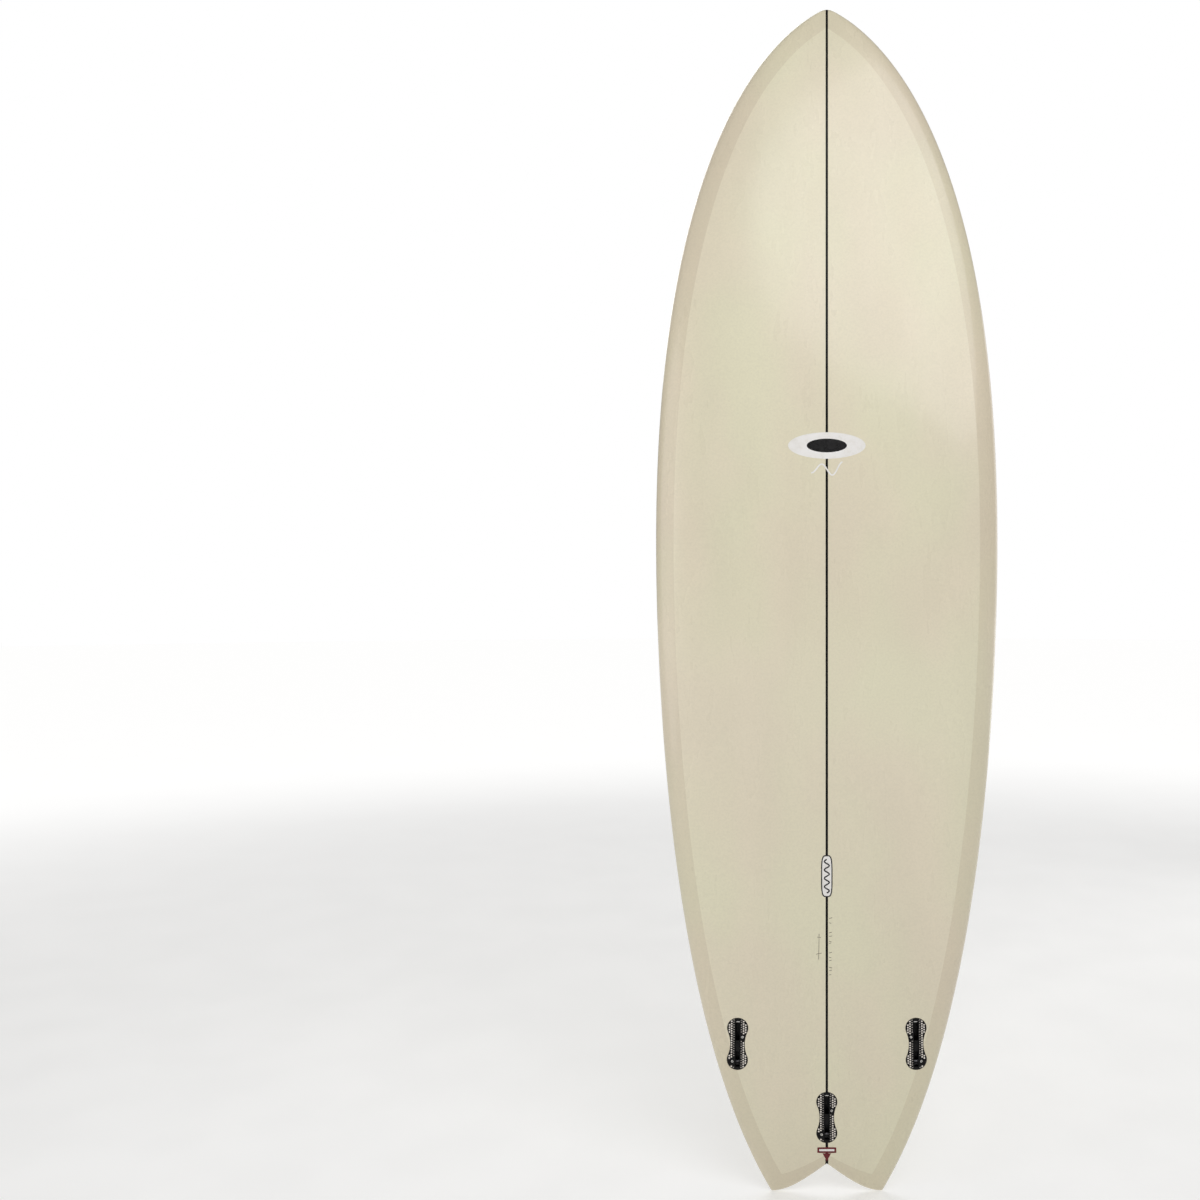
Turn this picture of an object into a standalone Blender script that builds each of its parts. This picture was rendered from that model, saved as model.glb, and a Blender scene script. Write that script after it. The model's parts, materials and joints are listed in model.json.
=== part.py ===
"""A swallow-tail mid-length surfboard, upright: X across, Z from tail to nose, the deck towards -Y.

Z = 0 is the line of the two tail tips and Y = 0 touches the bottom where its rocker is flat. A foam blank
is split by a stringer and wrapped in two fibreglass laminates whose laps cross over at the rails. Three
fin boxes are set in the bottom and a leash plug in the deck.
"""

from math import cos, pi, radians, sin

import bmesh
import bpy
import numpy as np
from mathutils import Matrix, Vector

MM = 0.001

# The board
LENGTH = 2.032
WIDTH = 0.5715
THICKNESS = 0.073
NOSE_ROUNDNESS = 0.008
NOSE_FULLNESS = 0.107
WIDE_POINT = 0.924
HIP = 1.144
TAIL_CURVE = (1.729, 0.268)
TAIL_HALF_WIDTH = 0.094
NOTCH_DEPTH = 0.048
NOTCH_POWER = 1.9

# Its side view: lift of the bottom line, and the thickness at both ends
ROCKER_FLAT_Z = 0.900
NOSE_LIFT = 0.115
NOSE_LIFT_POWER = 2.6
TAIL_LIFT = 0.052
TAIL_LIFT_POWER = 2.3
THICKEST_Z = 1.000
NOSE_THICKNESS = 0.013
NOSE_FOIL_POWER = 2.4
TAIL_THICKNESS = 0.016
TAIL_FOIL_POWER = 2.5
NOSE_EDGE = 0.008
TAIL_EDGE = 0.006
DECK_ROLL = 0.090
DECK_ROLL_POWER = 2.6

# Its cross-section: the rail's height as a share of the thickness, and how full each face is
APEX_MIDDLE = 0.42
APEX_NOSE = 0.50
APEX_TAIL = 0.34
DECK_POWER = 2.2
BOTTOM_POWER = 8.0
BOTTOM_POWER_TAIL = 18.0
TAIL_ZONE = 0.160

# Laminates: two plies that lie double over the rails, and single but thicker inside the laps
PLY = 0.6 * MM
GAP = 0.3 * MM
LAMINATE = 2 * PLY + GAP
FOAM_INSET = LAMINATE + GAP
LEVELS = (0.0, PLY, PLY + GAP, LAMINATE)
SEAM = 0.4 * MM
DECK_LAP = (0.057, 0.021, 0.026)
BOTTOM_LAP = (0.0365, 0.032, 0.030)
DECK_LAP_END = 0.768
BOTTOM_LAP_END = 0.830
LAP_NARROW = 1.250
LAP_FADE = 2.3
STRINGER = 4.0 * MM

# Fin boxes, in their own frame: X across, Y out of the bottom, Z towards the nose
BOX_PLACES = {"left": (-0.149, 0.260), "right": (0.149, 0.260), "center": (0.0, 0.132)}
TOE_IN = radians(1.0)
BOX_LENGTH = 90 * MM
LOBE_RADIUS = 17.5 * MM
WAIST = 24 * MM
FLANGE = 2.4 * MM
PROUD = 0.2 * MM
BODY_HALF_WIDTH = 9 * MM
BODY_HALF_LENGTH = 42 * MM
BODY_DEPTH = 17.5 * MM
SLOT_HALF_WIDTH = 3.4 * MM
SLOT_FLOOR = 14.5 * MM
FRONT_CAVITY = (5.0 * MM, 40.0 * MM)
REAR_CAVITY = (-39.5 * MM, -13.7 * MM)
BRIDGE_DEPTH = 2.2 * MM
HOOK_PIN_AT = (-7.0 * MM, 36.0 * MM)
HOOK_PIN_RADIUS = 1.5 * MM
HOOK_PIN_HALF = 6.0 * MM
ROLLER_AT = (-8.0 * MM, -33.0 * MM)
ROLLER_RADIUS = 2.2 * MM
ROLLER_HALF = 4.6 * MM
PAD_LENGTH = 3.4 * MM
SCREWS = {"front": (8.5 * MM, 11.7 * MM), "rear": (-8.9 * MM, -30.6 * MM)}
SCREW_LEAN = radians(18)
SCREW_RADIUS = 2.5 * MM
SCREW_LENGTH = 6.5 * MM
SCREW_TOP = 0.9 * MM
SCREW_BORE_DEPTH = 11 * MM
BOSS_RADIUS = 5.2 * MM
HEX_ACROSS = 2.5 * MM
HEX_DEPTH = 2.5 * MM

# Leash plug, in its own frame: X across, Y out of the deck, Z towards the nose
PLUG_PLACE = (0.067, 0.047)
PLUG_RADIUS = 12.6 * MM
PLUG_FLANGE = 1.6 * MM
PLUG_BODY_RADIUS = 10.8 * MM
PLUG_DEPTH = 14.3 * MM
CUP_RADIUS = 8.0 * MM
CUP_DEPTH = 12.0 * MM
LEASH_PIN_RADIUS = 1.6 * MM
LEASH_PIN_DEPTH = 4.5 * MM
LEASH_PIN_HALF = 10.2 * MM
LEASH_PIN_TURN = radians(2)

# Decals
BADGE_Z = 1.256
BADGE = (0.128, 0.044)
MARK_Z = 0.544
MARK = (0.019, 0.070)
LABEL_Z = 0.0745
LABEL = (0.032, 0.010)
DECAL = 0.2 * MM

ROUND_SIDES = 20
SMALL_SIDES = 12


# ---------------------------------------------------------------- the board's surface


def bezier(points, count=200):
    t = np.linspace(0, 1, count)[:, None]
    p = np.asarray(points, float)
    return (1 - t) ** 3 * p[0] + 3 * (1 - t) ** 2 * t * p[1] + 3 * (1 - t) * t**2 * p[2] + t**3 * p[3]


def template():
    """The right rail from the nose tip to the tail tip, as (z, x) points."""
    half = WIDTH / 2
    nose = bezier([(0, 0), (0, NOSE_ROUNDNESS), (NOSE_FULLNESS, half), (WIDE_POINT, half)])
    tail = bezier([(WIDE_POINT, half), (HIP, half), TAIL_CURVE, (LENGTH, TAIL_HALF_WIDTH)])
    points = np.vstack([nose, tail[1:]])
    points[:, 0] = LENGTH - points[:, 0]
    return points


def lap_width(depth, lap):
    """Width of a lap at this distance from the nose tip."""
    at_nose, middle, at_tail = lap
    nose = np.clip(1 - depth / LAP_NARROW, 0, 1) ** LAP_FADE
    tail = np.clip((depth - LAP_NARROW) / (LENGTH - LAP_NARROW), 0, 1) ** 1.5
    return middle + (at_nose - middle) * nose + (at_tail - middle) * tail


def inset_template(inset):
    """The template moved inwards, by one distance or by the width of a lap."""
    points = template()
    tangent = np.gradient(points, axis=0)
    tangent /= np.linalg.norm(tangent, axis=1)[:, None]
    inwards = np.stack([tangent[:, 1], -tangent[:, 0]], axis=1)
    depth = LENGTH - points[:, 0]
    distance = lap_width(depth, inset) if isinstance(inset, tuple) else np.full(len(points), inset)
    moved = points - inwards * distance[:, None]
    first = np.nonzero(moved[:, 1] <= 0)[0]
    if len(first):
        a, b = moved[first[-1]], moved[first[-1] + 1]
        tip = a + (b - a) * (0 - a[1]) / (b[1] - a[1])
        moved = np.vstack([tip, moved[first[-1] + 1 :]])
    return moved[::-1]


TEMPLATES = {}


def half_width(z, inset=0.0):
    if inset not in TEMPLATES:
        TEMPLATES[inset] = inset_template(inset)
    z_at, x_at = TEMPLATES[inset].T
    return np.interp(z, z_at, x_at, right=0.0)


def nose_z(inset=0.0):
    half_width(0.0, inset)
    return TEMPLATES[inset][-1, 0]


def lift(z):
    """How far the bottom line rises towards the deck."""
    nose = np.clip((z - ROCKER_FLAT_Z) / (LENGTH - ROCKER_FLAT_Z), 0, 1)
    tail = np.clip((ROCKER_FLAT_Z - z) / ROCKER_FLAT_Z, 0, 1)
    return NOSE_LIFT * nose**NOSE_LIFT_POWER + TAIL_LIFT * tail**TAIL_LIFT_POWER


def foil(z):
    """Thickness along the stringer, before the ends are rounded."""
    nose = np.clip((z - THICKEST_Z) / (LENGTH - THICKEST_Z), 0, 1)
    tail = np.clip((THICKEST_Z - z) / THICKEST_Z, 0, 1)
    nose_loss = (THICKNESS - NOSE_THICKNESS) * nose**NOSE_FOIL_POWER
    return THICKNESS - nose_loss - (THICKNESS - TAIL_THICKNESS) * tail**TAIL_FOIL_POWER


def apex_share(z):
    nose = np.clip((z - THICKEST_Z) / (LENGTH - THICKEST_Z), 0, 1)
    tail = np.clip((THICKEST_Z - z) / THICKEST_Z, 0, 1)
    return APEX_MIDDLE + (APEX_NOSE - APEX_MIDDLE) * nose**2 + (APEX_TAIL - APEX_MIDDLE) * tail**2


def bottom_power(z):
    tail = np.clip((THICKEST_Z - z) / THICKEST_Z, 0, 1)
    return BOTTOM_POWER + (BOTTOM_POWER_TAIL - BOTTOM_POWER) * tail**2


def rounded(distance, reach, power=2.0):
    """0 at an edge, rising to 1 at the given reach from it."""
    near = np.clip(1 - distance / reach, 0, 1)
    return np.sqrt(1 - near**power)


def notch_z(x, inset=0.0):
    """Height of the trailing edge, from the crotch of the tail at x = 0 out to a tip."""
    near = np.clip(1 - np.abs(x) / TAIL_HALF_WIDTH, 0, 1)
    slope = NOTCH_DEPTH * NOTCH_POWER / TAIL_HALF_WIDTH * near ** (NOTCH_POWER - 1)
    return NOTCH_DEPTH * near**NOTCH_POWER + inset * np.sqrt(1 + slope**2)


def surface(row, u, deck, inset=0.0):
    """Points of one face. row is 0 at the nose tip, 1 where the tail zone starts and 2 at its edge.

    u is the share of the half width, 0 at the stringer and 1 at the rail. inset moves the face inwards.
    """
    row, u = np.broadcast_arrays(np.asarray(row, float), np.asarray(u, float))
    tip = nose_z(inset)
    body = np.clip(row, 0, 1)
    tail = np.clip(row - 1, 0, 1)
    edge_z = notch_z(u * TAIL_HALF_WIDTH, inset)
    z = (1 - tail) * (tip + (TAIL_ZONE - tip) * body) + tail * edge_z
    x = u * half_width(z, inset)
    ends = rounded(tip - z, NOSE_EDGE) * rounded(z - edge_z, TAIL_EDGE)
    thick, share = foil(z), apex_share(z)
    apex_y = -lift(z) - share * thick
    if deck:
        side = np.sqrt(np.clip(1 - u**DECK_POWER, 0, 1)) * rounded(z - edge_z, DECK_ROLL, DECK_ROLL_POWER)
        y = apex_y - ends * side * ((1 - share) * thick - inset)
    else:
        side = np.sqrt(np.clip(1 - u ** bottom_power(z), 0, 1))
        y = apex_y + ends * side * (share * thick - inset)
    return np.stack([x, y, z], axis=-1)


def row_at(z):
    """The row whose points lie at height z, above the tail zone."""
    return (LENGTH - z) / (LENGTH - TAIL_ZONE)


def point_at(x, z, deck):
    """The surface point of one face over (x, z), found by halving the tail zone's rows."""
    width = half_width(z)
    u = abs(x) / width
    low, high = 0.0, 2.0
    for _ in range(40):
        middle = (low + high) / 2
        found = surface(middle, u, deck)
        low, high = (middle, high) if found[2] > z else (low, middle)
    found = surface(low, u, deck)
    return Vector((x, found[1], z))


def frame_at(x, z, deck, turn=0.0):
    """A local frame on one face: Y outwards, Z towards the nose, turned about Y."""
    step = 4 * MM
    across = point_at(x + step, z, deck) - point_at(x - step, z, deck)
    along = point_at(x, z + step, deck) - point_at(x, z - step, deck)
    across.normalize()
    out = along.cross(across).normalized() * (-1 if deck else 1)
    along = (along - out * along.dot(out)).normalized()
    side = out.cross(along)
    base = Matrix((side, out, along)).transposed().to_4x4()
    return Matrix.Translation(point_at(x, z, deck)) @ base @ Matrix.Rotation(turn, 4, "Y")


# ---------------------------------------------------------------- rows and columns of the mesh


def lap_rows(lap, end):
    """Rows where the zone inside a lap starts and ends, each as (outer, inner) across the seam."""
    outer = row_at(nose_z(lap))
    inner = row_at(nose_z(tuple(width + SEAM for width in lap)))
    seam = SEAM / (TAIL_ZONE - NOTCH_DEPTH)
    return outer, inner, 1 + end, 1 + end + seam


def board_rows():
    nose = [0, 1.2 * MM, 4 * MM, NOSE_EDGE, 0.020]
    spread = [0.110, 0.175, 0.260, 0.370, 0.500, 0.640, 0.900, 1.050, 1.200, 1.340, 1.650, 1.780]
    decals = [BADGE_Z - BADGE[1] / 2, BADGE_Z + BADGE[1] / 2, MARK_Z - MARK[1] / 2, MARK_Z + MARK[1] / 2]
    rows = [row_at(LENGTH - d) for d in nose + spread] + [row_at(z) for z in decals]
    for lap, end in ((DECK_LAP, DECK_LAP_END), (BOTTOM_LAP, BOTTOM_LAP_END)):
        rows += lap_rows(lap, end)
    rows += [1.0, 1.4, 1.91, 1.955, 1.982, 1.996, 2.0]
    return np.array(sorted(rows))


INNER_COLUMNS = (0.0, 0.30, 0.65, 1.0)
RAIL_COLUMNS = (1.0, 0.45, 0.15, 0.02, 0.0)


def columns(rows, lap):
    """u of each column on one face: the zone inside the lap, the seam, then out to the rail."""
    z = surface(rows, 0.0, True)[:, 2]
    z_rail = surface(rows, 1.0, True)[:, 2]
    blend = np.clip((rows - 1.85) / 0.15, 0, 1)
    level = np.where(rows > 1, z_rail, z)
    width = np.maximum(half_width(level), 1e-9)
    inner = half_width(level, tuple(width + SEAM for width in lap)) / width
    outer = half_width(level, lap) / width
    even = 0.75
    inner = inner * (1 - blend) + (even - 0.004) * blend
    outer = outer * (1 - blend) + even * blend
    inside = [inner * share for share in INNER_COLUMNS]
    rail = [1 - (1 - outer) * share for share in RAIL_COLUMNS]
    return np.stack(inside + rail, axis=1)


INNER_CELLS = len(INNER_COLUMNS) - 1
FACE_CELLS = INNER_CELLS + len(RAIL_COLUMNS)


def ring_layout():
    """(face, side, column) of each point round a row: deck right, bottom right, bottom left, deck left."""
    last = FACE_CELLS
    ring = [("deck", 1, j) for j in range(last)] + [("bottom", 1, j) for j in range(last, 0, -1)]
    ring += [("bottom", -1, j) for j in range(last)] + [("deck", -1, j) for j in range(last, 0, -1)]
    return ring


def cell_of(ring_index):
    """(face, column) of the cell that starts at this point of the ring."""
    quarter, step = divmod(ring_index, FACE_CELLS)
    face = "deck" if quarter in (0, 3) else "bottom"
    return face, step if quarter in (0, 2) else FACE_CELLS - 1 - step


def grid(inset):
    """Surface points as [row, ring position]."""
    rows = board_rows()
    u = {"deck": columns(rows, DECK_LAP), "bottom": columns(rows, BOTTOM_LAP)}
    ring = []
    for face, side, j in ring_layout():
        points = surface(rows, u[face][:, j], face == "deck", inset)
        ring.append(points * (side, 1, 1))
    return np.stack(ring, axis=1)


def zone(row, face, column):
    """Whether a cell lies inside its face's lap, in the seam round it, or in the lap."""
    lap, end = (DECK_LAP, DECK_LAP_END) if face == "deck" else (BOTTOM_LAP, BOTTOM_LAP_END)
    outer, inner, end_in, end_out = lap_rows(lap, end)
    if column < INNER_CELLS and inner <= row < end_in:
        return "inside"
    if column <= INNER_CELLS and outer <= row < end_out:
        return "seam"
    return "lap"


# ---------------------------------------------------------------- mesh and object helpers


def material(name, color, roughness, metallic=0.0):
    made = bpy.data.materials.new(name)
    made.use_nodes = True
    shader = made.node_tree.nodes["Principled BSDF"]
    shader.inputs["Base Color"].default_value = (*color, 1.0)
    shader.inputs["Roughness"].default_value = roughness
    shader.inputs["Metallic"].default_value = metallic
    return made


def add_object(name, bm, look, place=None):
    bmesh.ops.recalc_face_normals(bm, faces=bm.faces)
    mesh = bpy.data.meshes.new(name)
    bm.to_mesh(mesh)
    bm.free()
    mesh.shade_smooth()
    mesh.set_sharp_from_angle(angle=radians(35))
    obj = bpy.data.objects.new(name, mesh)
    bpy.context.scene.collection.objects.link(obj)
    if look:
        mesh.materials.append(look)
    if place is not None:
        obj.matrix_world = place
    return obj


def add_cutter(name, bm, place):
    cutter = add_object(name, bm, None, place)
    cutter.hide_render = True
    cutter.display_type = "WIRE"
    return cutter


def combine(obj, other, operation):
    boolean = obj.modifiers.new(other.name, "BOOLEAN")
    boolean.operation = operation
    boolean.solver = "EXACT"
    boolean.object = other


def prism(outline, low, high):
    """A closed prism of an (x, z) outline between two values of y."""
    bm = bmesh.new()
    ends = [[bm.verts.new((x, y, z)) for x, z in outline] for y in (low, high)]
    bm.faces.new(ends[0])
    bm.faces.new(ends[1][::-1])
    for i in range(len(outline)):
        j = (i + 1) % len(outline)
        bm.faces.new((ends[0][i], ends[0][j], ends[1][j], ends[1][i]))
    return bm


def block(x, y, z):
    """A box from three (low, high) pairs."""
    return prism([(x[0], z[0]), (x[1], z[0]), (x[1], z[1]), (x[0], z[1])], *y)


def rod(radius, half_length, centre, axis, sides=SMALL_SIDES):
    """A round bar about a point, along a direction."""
    bm = bmesh.new()
    turn = Vector((0, 0, 1)).rotation_difference(Vector(axis)).to_matrix().to_4x4()
    bmesh.ops.create_cone(
        bm,
        cap_ends=True,
        segments=sides,
        radius1=radius,
        radius2=radius,
        depth=2 * half_length,
        matrix=Matrix.Translation(centre) @ turn,
    )
    return bm


# ---------------------------------------------------------------- blank, stringer and laminates


def split(corners, k, around):
    """Two triangles of a cell, cut the same way in every layer and mirrored across the stringer."""
    a, b, c, d = corners
    return ((a, b, c), (a, c, d)) if k < around // 2 else ((a, b, d), (b, c, d))


def hull(inset):
    """The whole board as one closed surface, moved inwards."""
    points = grid(inset)
    bm = bmesh.new()
    verts = [[bm.verts.new(p) for p in row] for row in points]
    around = len(verts[0])
    for i in range(len(verts) - 1):
        for k in range(around):
            n = (k + 1) % around
            for corners in split((verts[i][k], verts[i][n], verts[i + 1][n], verts[i + 1][k]), k, around):
                bm.faces.new(corners)
    bmesh.ops.remove_doubles(bm, verts=bm.verts, dist=1e-6)
    bmesh.ops.dissolve_degenerate(bm, edges=bm.edges, dist=1e-6)
    bmesh.ops.recalc_face_normals(bm, faces=bm.faces)
    return bm


def keep_side(bm, x, direction):
    """Cuts the solid at a plane across X, keeps the side that direction points to, and closes the cut."""
    cut = bmesh.ops.bisect_plane(
        bm,
        geom=bm.verts[:] + bm.edges[:] + bm.faces[:],
        dist=1e-7,
        plane_co=(x, 0, 0),
        plane_no=(direction, 0, 0),
        clear_inner=True,
    )
    edges = [e for e in cut["geom_cut"] if isinstance(e, bmesh.types.BMEdge)]
    bmesh.ops.holes_fill(bm, edges=edges, sides=0)


def add_core(look_foam, look_stringer):
    side = STRINGER / 2 + GAP
    cores = []
    for name, direction in (("foam_core_left", -1), ("foam_core_right", 1)):
        bm = hull(FOAM_INSET)
        keep_side(bm, direction * side, direction)
        cores.append(add_object(name, bm, look_foam))
    bm = hull(FOAM_INSET)
    keep_side(bm, -STRINGER / 2, 1)
    keep_side(bm, STRINGER / 2, -1)
    cores.append(add_object("stringer", bm, look_stringer))
    return cores


DECK_PLIES = {
    ("deck", "inside"): (0, 3),
    ("deck", "seam"): (0, 1),
    ("deck", "lap"): (0, 1),
    ("bottom", "lap"): (0, 1),
}
BOTTOM_PLIES = {
    ("bottom", "inside"): (0, 3),
    ("bottom", "seam"): (2, 3),
    ("bottom", "lap"): (2, 3),
    ("deck", "lap"): (2, 3),
}


def laminate(name, plies, look):
    """A shell built cell by cell, each cell reaching between two of LEVELS, with walls where that changes."""
    rows = board_rows()
    layers = [grid(level) for level in LEVELS]
    around = layers[0].shape[1]
    last = len(rows) - 1
    bm = bmesh.new()
    verts = {}

    def vert(i, k, level):
        key = (i, k % around, level)
        if key not in verts:
            verts[key] = bm.verts.new(layers[level][i, k % around])
        return verts[key]

    def reach(i, k):
        face, column = cell_of(k % around)
        return plies.get((face, zone(rows[i], face, column)))

    def wall(cell, beyond, a, b):
        beyond = set(range(*beyond)) if beyond else set()
        for level in set(range(*cell)) - beyond:
            bm.faces.new((vert(*a, level), vert(*b, level), vert(*b, level + 1), vert(*a, level + 1)))

    for i in range(last):
        for k in range(around):
            cell = reach(i, k)
            if not cell:
                continue
            for corners in split(((i, k), (i, k + 1), (i + 1, k + 1), (i + 1, k)), k, around):
                bm.faces.new([vert(*c, cell[0]) for c in corners])
                bm.faces.new([vert(*c, cell[1]) for c in corners[::-1]])
            wall(cell, reach(i, k - 1), (i, k), (i + 1, k))
            wall(cell, reach(i, k + 1), (i, k + 1), (i + 1, k + 1))
            if i > 0:
                wall(cell, reach(i - 1, k), (i, k), (i, k + 1))
            if i < last - 1:
                wall(cell, reach(i + 1, k), (i + 1, k), (i + 1, k + 1))
    bmesh.ops.remove_doubles(bm, verts=bm.verts, dist=1e-6)
    return add_object(name, bm, look)


# ---------------------------------------------------------------- fin boxes


def hourglass(grow=0.0):
    """(x, z) outline of a fin box flange: two round lobes joined by hollow sides."""
    lobe_z = BOX_LENGTH / 2 - LOBE_RADIUS
    waist = WAIST / 2
    hollow = (lobe_z**2 + waist**2 - LOBE_RADIUS**2) / (2 * (LOBE_RADIUS - waist))
    middle_x = waist + hollow
    meet = np.arctan2(lobe_z, middle_x)
    lobe, side = LOBE_RADIUS + grow, hollow - grow
    outline = []
    for a in np.linspace(-meet, pi + meet, 13):
        outline.append((lobe * cos(a), lobe_z + lobe * sin(a)))
    for a in np.linspace(meet, -meet, 5)[1:-1]:
        outline.append((-middle_x + side * cos(a), side * sin(a)))
    return outline + [(-x, -z) for x, z in outline]


def stadium(half_width_, half_length, grow=0.0, steps=6):
    """(x, z) outline of a long shape with round ends."""
    r = half_width_ + grow
    straight = half_length - half_width_
    outline = [(r * cos(a), straight + r * sin(a)) for a in np.linspace(0, pi, steps + 1)]
    return outline + [(-x, -z) for x, z in outline]


def screw_frame(which, hand):
    """Mouth of a screw bore and the direction that points out of it. hand mirrors a box."""
    x, z = SCREWS[which]
    x *= hand
    lean = SCREW_LEAN if x > 0 else -SCREW_LEAN
    return Vector((x, PROUD, z)), Vector((sin(lean), cos(lean), 0))


def add_housing(name, place, hand, look):
    housing = add_object(name, prism(hourglass(), -FLANGE, PROUD), look, place)
    body = prism(stadium(BODY_HALF_WIDTH, BODY_HALF_LENGTH), -BODY_DEPTH, -FLANGE / 2)
    combine(housing, add_cutter(name + "_body", body, place), "UNION")
    for which in SCREWS:
        mouth, out = screw_frame(which, hand)
        half = SCREW_BORE_DEPTH / 2
        boss = rod(BOSS_RADIUS, half - FLANGE / 2, mouth - out * (half + FLANGE / 2), out)
        combine(housing, add_cutter(f"{name}_boss_{which}", boss, place), "UNION")
    slot = SLOT_HALF_WIDTH
    open_top = 3 * MM
    across = (-slot, slot)
    channel = block(across, (-BRIDGE_DEPTH, open_top), (REAR_CAVITY[0], FRONT_CAVITY[1]))
    combine(housing, add_cutter(name + "_channel", channel, place), "DIFFERENCE")
    for which, cavity in (("front", FRONT_CAVITY), ("rear", REAR_CAVITY)):
        space = block(across, (-SLOT_FLOOR, open_top), cavity)
        combine(housing, add_cutter(f"{name}_cavity_{which}", space, place), "DIFFERENCE")
    y, z = ROLLER_AT
    high = ROLLER_RADIUS + GAP
    wide = ROLLER_HALF + GAP
    race = block((-wide, wide), (y - high, y + high), (REAR_CAVITY[0] - GAP, z + high))
    combine(housing, add_cutter(name + "_race", race, place), "DIFFERENCE")
    y, z = HOOK_PIN_AT
    bore = rod(HOOK_PIN_RADIUS + GAP, HOOK_PIN_HALF + GAP, (0, y, z), (1, 0, 0))
    combine(housing, add_cutter(name + "_pin_bore", bore, place), "DIFFERENCE")
    for which in SCREWS:
        mouth, out = screw_frame(which, hand)
        half = (SCREW_BORE_DEPTH - 1.2 * MM) / 2
        bore = rod(SCREW_RADIUS + GAP, half + 1 * MM, mouth - out * (half - 1 * MM), out)
        combine(housing, add_cutter(f"{name}_bore_{which}", bore, place), "DIFFERENCE")
    return housing


def add_screw(name, place, which, hand, look):
    """A socket grub screw whose origin is on its axis, at its top."""
    mouth, out = screw_frame(which, hand)
    turn = Vector((0, 0, 1)).rotation_difference(out).to_matrix().to_4x4()
    frame = place @ Matrix.Translation(mouth - out * SCREW_TOP) @ turn
    body = rod(SCREW_RADIUS, SCREW_LENGTH / 2, (0, 0, -SCREW_LENGTH / 2), (0, 0, 1))
    screw = add_object(name, body, look, frame)
    hexagon = rod(HEX_ACROSS / 2 / cos(pi / 6), HEX_DEPTH, (0, 0, 0), (0, 0, 1), sides=6)
    combine(screw, add_cutter(name + "_socket", hexagon, frame), "DIFFERENCE")


def add_fin_box(side, looks):
    """One fin box and what is inside it. Returns the pocket that it needs in the board."""
    x, z = BOX_PLACES[side]
    hand = 1 if x < 0 else -1
    place = frame_at(x, z, deck=False, turn=TOE_IN * np.sign(-x))
    name = "fin_box_" + side
    add_housing(name, place, hand, looks["box"])
    y, z = HOOK_PIN_AT
    pin = rod(HOOK_PIN_RADIUS, HOOK_PIN_HALF, (0, y, z), (1, 0, 0))
    add_object(name + "_hook_pin", pin, looks["steel"], place)
    y, z = ROLLER_AT
    roller = rod(ROLLER_RADIUS, ROLLER_HALF, (0, 0, 0), (1, 0, 0))
    add_object(name + "_roller", roller, looks["steel"], place @ Matrix.Translation((0, y, z)))
    high = ROLLER_RADIUS
    back = z - high - GAP
    pad = block((-ROLLER_HALF, ROLLER_HALF), (y - high, y + high), (back - PAD_LENGTH, back))
    add_object(name + "_spring_pad", pad, looks["rubber"], place)
    for which in SCREWS:
        add_screw(f"{name}_screw_{which}", place, which, hand, looks["steel"])
    mouth = add_cutter(name + "_mouth", prism(hourglass(GAP), -FLANGE - GAP, 6 * MM), place)
    well = stadium(BODY_HALF_WIDTH + BOSS_RADIUS, BODY_HALF_LENGTH + 1 * MM, GAP)
    pocket = add_cutter(name + "_pocket", prism(well, -BODY_DEPTH - GAP, -FLANGE / 2), place)
    return mouth, pocket


# ---------------------------------------------------------------- leash plug


def lathe(profile, sides=ROUND_SIDES):
    """Turns a closed (radius, y) profile about Y."""
    bm = bmesh.new()
    rings = []
    for r, y in profile:
        if r == 0:
            rings.append([bm.verts.new((0, y, 0))] * sides)
            continue
        angles = (2 * pi * n / sides for n in range(sides))
        rings.append([bm.verts.new((r * cos(a), y, r * sin(a))) for a in angles])
    for a, b in zip(rings, rings[1:]):
        for n in range(sides):
            m = (n + 1) % sides
            corners = dict.fromkeys((a[n], a[m], b[m], b[n]))
            if len(corners) > 2:
                bm.faces.new(list(corners))
    return bm


def add_leash_plug(looks):
    """The cup with its cross pin. Returns the pocket that it needs in the board."""
    x, z = PLUG_PLACE
    place = frame_at(x, z, deck=True, turn=LEASH_PIN_TURN)
    cup = [(0, -PLUG_DEPTH), (PLUG_BODY_RADIUS, -PLUG_DEPTH), (PLUG_BODY_RADIUS, -PLUG_FLANGE)]
    cup += [(PLUG_RADIUS, -PLUG_FLANGE), (PLUG_RADIUS, PROUD), (CUP_RADIUS, PROUD)]
    for a in np.linspace(0, pi / 2, 5):
        corner = 4 * MM
        cup.append((CUP_RADIUS - corner * (1 - cos(a)), -CUP_DEPTH + corner * (1 - sin(a))))
    cup.append((0, -CUP_DEPTH))
    plug = add_object("leash_plug", lathe(cup), looks["box"], place)
    centre = (0, -LEASH_PIN_DEPTH, 0)
    bore = rod(LEASH_PIN_RADIUS + GAP, PLUG_BODY_RADIUS + 2 * MM, centre, (1, 0, 0))
    combine(plug, add_cutter("leash_plug_bore", bore, place), "DIFFERENCE")
    pin = rod(LEASH_PIN_RADIUS, LEASH_PIN_HALF, centre, (1, 0, 0))
    add_object("leash_plug_pin", pin, looks["steel"], place)
    rim = PLUG_RADIUS + GAP
    well = PLUG_BODY_RADIUS + GAP
    flange, floor = -PLUG_FLANGE - GAP, -PLUG_DEPTH - GAP
    profile = [(0, floor), (well, floor), (well, flange), (rim, flange), (rim, 6 * MM), (0, 6 * MM)]
    return add_cutter("leash_plug_pocket", lathe(profile), place)


# ---------------------------------------------------------------- decals


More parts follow.
